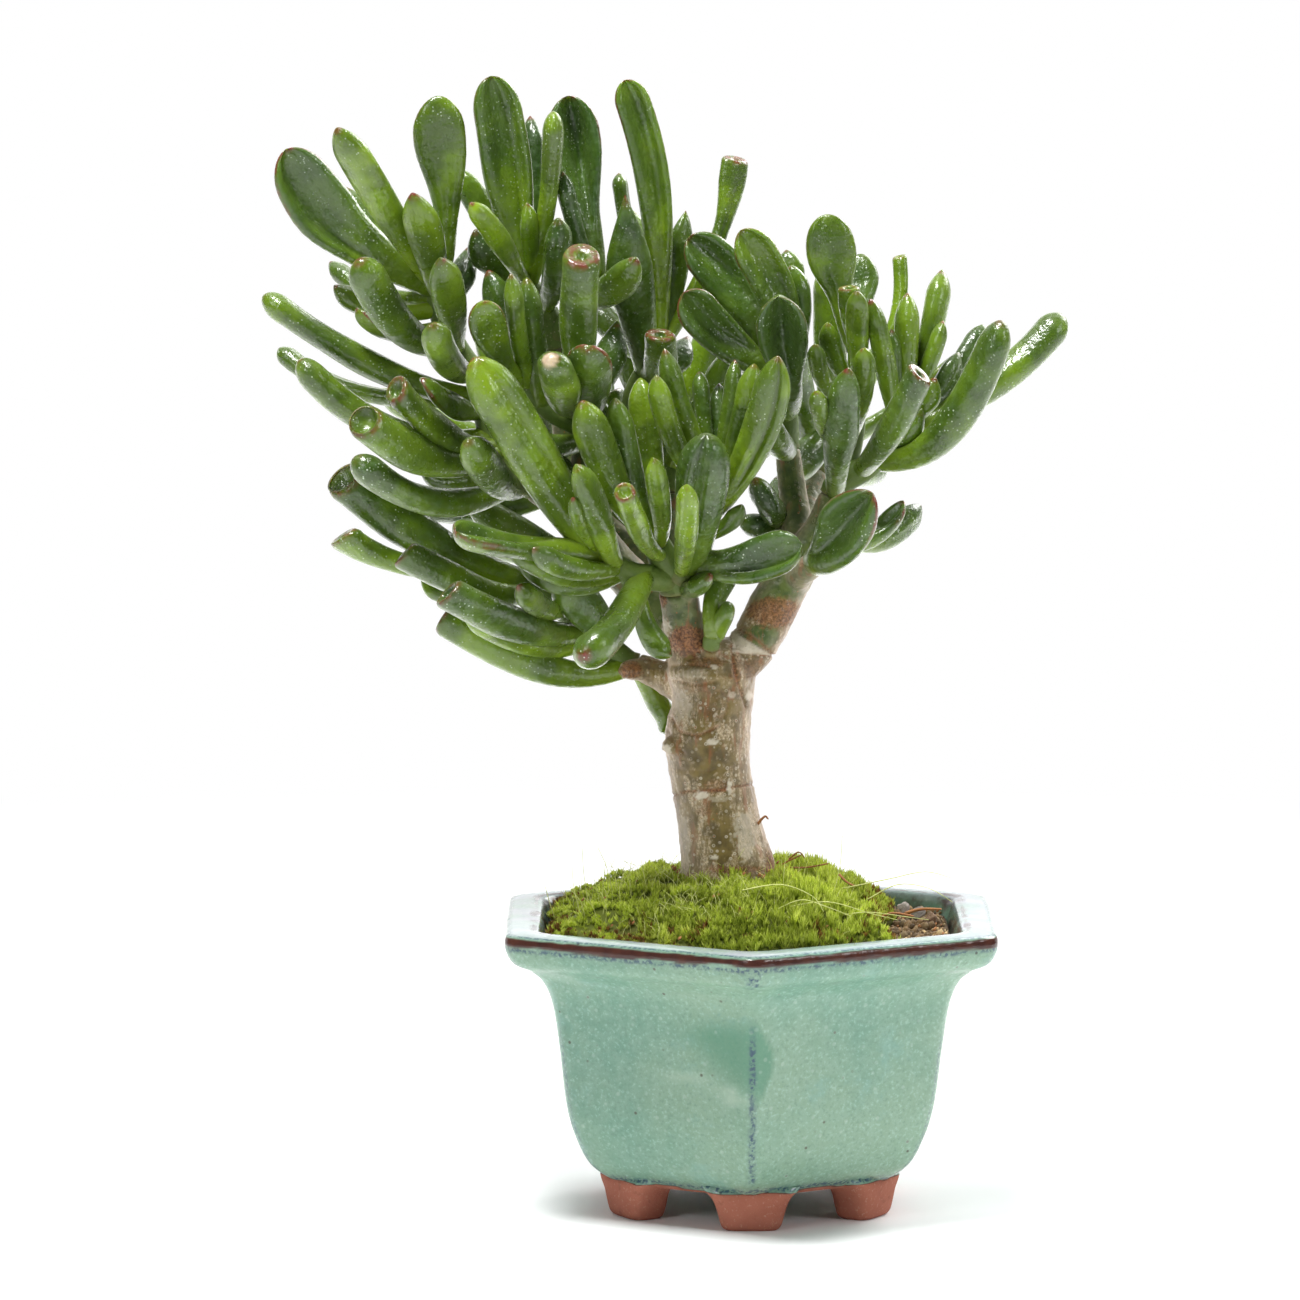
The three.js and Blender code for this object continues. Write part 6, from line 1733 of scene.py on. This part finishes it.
def moss():
    draw = random.Random(21)
    dice = np.random.default_rng(21)
    points, faces, masks = [], [], []
    sectors = 120
    bearings = 2 * math.pi * np.arange(sectors) / sectors

    def place_on(bearing, share):
        away = moss_reach(bearing) * share
        return MOSS_CENTRE[0] + away * math.cos(bearing), MOSS_CENTRE[1] + away * math.sin(bearing)

    for share in MOSS_RINGS:
        for bearing in bearings:
            x, y = place_on(bearing, share)
            top, part = moss_top(x, y)
            bright, brown, _ = moss_tone(x, y, part)
            points.append((x, y, top - MOSS_DEPTH))
            # the bed under the tufts is half as bright and as dark as a stem's foot: painted shade
            masks.append((bright * 0.5, 0.15, brown, 0.5))
    for bearing in bearings:
        x, y = place_on(bearing, 1)
        points.append((x, y, SOIL_TOP + 0.2))
        masks.append((0.2, 0, 0.6, 0.5))
    rings = len(MOSS_RINGS) + 1
    for r in range(rings - 1):
        stitch(faces, (r + 1) * sectors, r * sectors, sectors)
    points.append((*MOSS_CENTRE, moss_top(*MOSS_CENTRE)[0] - MOSS_DEPTH))
    masks.append((0.3, 0.15, 0, 0.5))
    fan(faces, 0, sectors, len(points) - 1)
    faces.append([(rings - 1) * sectors + i for i in reversed(range(sectors))])
    bed = add_mesh("moss_bed", points, faces, "moss")
    paint(bed, "moss", masks)
    look = moss_material()
    bed.data.materials.append(look)

    tufts = []
    mid_x, mid_y = MOSS_CENTRE
    while len(tufts) < TUFTS:
        # the stems of a cushion lean out from its middle
        if draw.random() < NEW_CUSHION:
            mid_x, mid_y = draw.uniform(-59, 38), draw.uniform(-60, 60)
        off_x, off_y = draw.gauss(0, 0.85), draw.gauss(0, 0.85)
        x, y = mid_x + off_x, mid_y + off_y
        top, part = moss_top(x, y)
        if part > (1.06 if x < -20 else 1.0) or not in_pot(x, y, 0.3):
            continue
        top -= 14 * max(0, part - 1) + 0.45 * math.hypot(off_x, off_y) - 0.45
        if math.hypot(x - TRUNK_FOOT_X, y) < TRUNK_ROOM:
            continue
        bright, brown, long = moss_tone(x, y, part)
        bright = min(max(bright + draw.gauss(0, 0.2), 0), 1)
        brown = 1.0 if draw.random() < brown * 0.8 else brown * 0.3
        tufts.append((x, y, top - MOSS_DEPTH, bright, brown, long * draw.uniform(0.7, 1.3),
                      draw.gauss(0, 0.15) + 0.28 * off_x, draw.gauss(0, 0.15) + 0.28 * off_y))
    tufts = np.repeat(np.array(tufts), TUFT_LEAVES, axis=0)
    count = len(tufts)
    # each leaf stands out from its stem at some height and bends up to a point
    turn = dice.uniform(0, 2 * math.pi, count)
    lean = np.abs(dice.normal(0, 0.34, count)) + 0.04
    out = np.stack((np.cos(turn), np.sin(turn)), axis=1)
    stem_top = dice.uniform(0, 1, count) ** 0.6
    foot = tufts[:, :3].copy()
    foot[:, :2] += out * dice.uniform(0, 0.4, count)[:, None] + tufts[:, 6:8] * stem_top[:, None] * 1.6
    foot[:, 2] += stem_top * 1.25 * tufts[:, 5] - 0.3
    length = tufts[:, 5] * dice.uniform(1.4, 2.9, count) * (1 - 0.25 * stem_top)
    up = np.cos(np.clip(lean, 0, 1.35))
    side_way = np.sqrt(1 - up ** 2)
    way = np.column_stack((out * side_way[:, None] + tufts[:, 6:8] * 0.5, up))
    flat = np.column_stack((-out[:, 1], out[:, 0], np.zeros(count)))
    half = 0.17 + 0.15 * dice.random(count)
    middle = foot + way * (length * 0.45)[:, None]
    tip = foot + way * length[:, None] + np.column_stack((out * 0.15, np.full(count, 0.12)))
    corners = np.stack((foot, middle + flat * half[:, None], tip, middle - flat * half[:, None]), axis=1)
    leaf_points = corners.reshape(-1, 3)
    first = np.arange(count)[:, None] * 4
    leaf_faces = np.concatenate((first + (0, 1, 2), first + (0, 2, 3)), axis=1).reshape(-1, 3)
    vary = np.repeat(dice.random(count), 4)
    low = np.repeat(stem_top * 0.55, 4)
    along = np.clip(low + np.tile((0, 0.3, 0.6, 0.3), count), 0, 1)
    leaf_masks = np.stack((np.repeat(tufts[:, 3], 4), along, np.repeat(tufts[:, 4], 4), vary), axis=1)
    leaves_piece = add_mesh("moss_tufts", leaf_points, leaf_faces.tolist(), "moss", smooth=False)
    paint(leaves_piece, "moss", leaf_masks)
    leaves_piece.data.materials.append(look)
    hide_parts("moss")
    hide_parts("moss")


moss()


# ---------------- moss stalks
# Hair-thin dry stalks stand out of the moss, and a few long ones arch over it on the
# right. Each grew from the cushion as a plain round thread.

SHORT_STALKS = 460


def thread_material(name, first, second):
    material, tree = new_material(name)
    colour = grain(tree, place_in(tree), 260.0, first, second)
    shader = add_node(tree, "ShaderNodeBsdfPrincipled", {"Base Color": colour, "Roughness": 0.6})
    return finished(material, shader)


def thread(points, faces, knots, radius, thin_end=0.4):
    """A thin round stalk through places, its end closed."""
    rows = [(np.array(knot, float), radius * (1 - (1 - thin_end) * i / (len(knots) - 1)))
            for i, knot in enumerate(knots)]
    rings, (end, heading, _) = tube_rings(rows, 5, 5)
    marked = [(ring, np.zeros((5, 4))) for ring, _ in rings]
    add_skin(points, faces, [], marked, end + heading * radius)


def stalks():
    draw = random.Random(8)
    points, faces = [], []
    # stalks that show against the light, foot and tip on the front sheet
    for foot_x, tip_x, tip_up in (
            (-43, -45.6, 88.4), (-41, -43, 92.4), (-35, -39, 92.6), (-38, -37, 89), (-33, -32, 86.5),
            (-30, -30.6, 84), (-26, -28, 90), (20, 23.7, 95.6), (8, 9.6, 92), (12, 15, 89.5)):
        y = draw.uniform(-24, -4)
        top = moss_top(foot_x, y)[0]
        end = on_sheet(tip_x, tip_up, y + draw.uniform(-3, 3))
        middle = (foot_x * 0.5 + end[0] * 0.5 + draw.uniform(-1, 1), y, (top + end[2]) / 2)
        thread(points, faces, [(foot_x, y, top - 2), middle, end], 0.12)
    for _ in range(SHORT_STALKS):
        x, y = draw.gauss(-12, 22), draw.uniform(-44, 20)
        top, part = moss_top(x, y)
        if part > 0.95 or not in_pot(x, y, 2):
            continue
        tall = 1.5 + min(draw.expovariate(0.7), 5)
        lean, side = draw.gauss(0, 2), draw.gauss(0, 1.5)
        thread(points, faces, [(x, y, top - 1), (x + lean * 0.3, y + side * 0.3, top + tall * 0.5),
                               (x + lean, y + side, top + tall)], 0.09)
    # long arching stems on the right, as [across, up, depth] on the front sheet
    for knots in ([(6, 76, -38), (13, 79, -36), (19, 77.5, -40), (26, 74.8, -41)],
                  [(9, 77, -35), (20, 78.5, -37), (31, 75.5, -36), (38, 73.8, -35)],
                  [(-2, 81.5, -38), (8, 83, -38), (16, 80, -39), (19, 76, -41)],
                  [(24, 82, -20), (36, 84.5, -22), (45, 86.3, -24), (52, 84.6, -25)],
                  [(30, 79, -24), (38, 83, -25), (46, 82, -25), (52, 78.5, -24)],
                  [(-50, 74, -10), (-51.6, 79, -12), (-52.5, 82.5, -13)],
                  [(22, 74.6, -32), (30, 75.8, -34), (41, 74.5, -30), (46, 73.8, -26)]):
        thread(points, faces, [on_sheet(*knot) for knot in knots], 0.17)
    piece = add_mesh("moss_stalks", points, faces, "moss")
    piece.data.materials.append(thread_material("dry_stalk", (0.48, 0.56, 0.10), (0.80, 0.80, 0.34)))


stalks()


# ---------------- dry litter
# Dry twigs and bits of fallen bark lie loose on the moss and on the bare soil, and a
# ring of them lies round the trunk's foot.

LOOSE_BITS = 170


def litter():
    draw = random.Random(17)
    points, faces = [], []
    # dry twigs behind the trunk's right side, and a brown curl standing from it
    for knots, radius in (
            ([(5, 86, 2), (9, 88.6, 0), (13, 90.6, -1)], 0.32),
            ([(7, 87.5, 0), (14, 87.4, -2), (20, 88.4, -3)], 0.3),
            ([(10, 89.5, 1), (12.5, 91.4, 0), (14, 90, 0)], 0.25),
            ([(23, 85.6, -4), (25, 83.6, -6), (27, 82.6, -8)], 0.35),
            ([(2, 98.6, -4), (3.1, 100, -6), (4, 100.7, -6), (4.6, 100.1, -6)], 0.4),
            ([(40, 75.5, -12), (44, 76.6, -16), (49, 76.6, -18)], 0.5),
            ([(34, 74.6, -22), (37, 75.6, -24), (42, 74.8, -24)], 0.4)):
        thread(points, faces, [on_sheet(*knot) for knot in knots], radius, 0.6)
    made = 0
    while made < LOOSE_BITS:
        x, y = draw.uniform(-56, 54), draw.uniform(-58, 58)
        top, part = moss_top(x, y)
        if not in_pot(x, y, 1.5) or (part < 1 and draw.random() < 0.72):
            continue
        size = draw.uniform(0.25, 0.8)
        height = top + 0.1 if part < 1 else soil_height(x, y) + 0.7
        lump(points, faces, (x, y, height), size, made * 0.53, draw.uniform(0.25, 0.5))
        made += 1
    for bearing in np.radians((-160, -120, -75, -55, -38, -25, -10, 20, 60, 110, 170)):
        for _ in range(3):
            near = 12.6 + draw.uniform(0, 1.8)
            aside = bearing + draw.uniform(-0.1, 0.1)
            spot = (TRUNK_FOOT_X + near * math.cos(aside), near * math.sin(bearing),
                    86.5 + draw.uniform(-1, 1.5))
            lump(points, faces, spot, draw.uniform(0.4, 0.9), made * 0.53, 0.35)
            made += 1
    piece = add_mesh("dry_litter", points, faces, "soil")
    paint(piece, "earth", [(0.8, 0.3, 0, 1)] * len(points))
    piece.data.materials.append(earth_material("bark_bits", (0.14, 0.05, 0.018), (0.42, 0.19, 0.07),
                                               (0.55, 0.28, 0.12), 0.4))


litter()
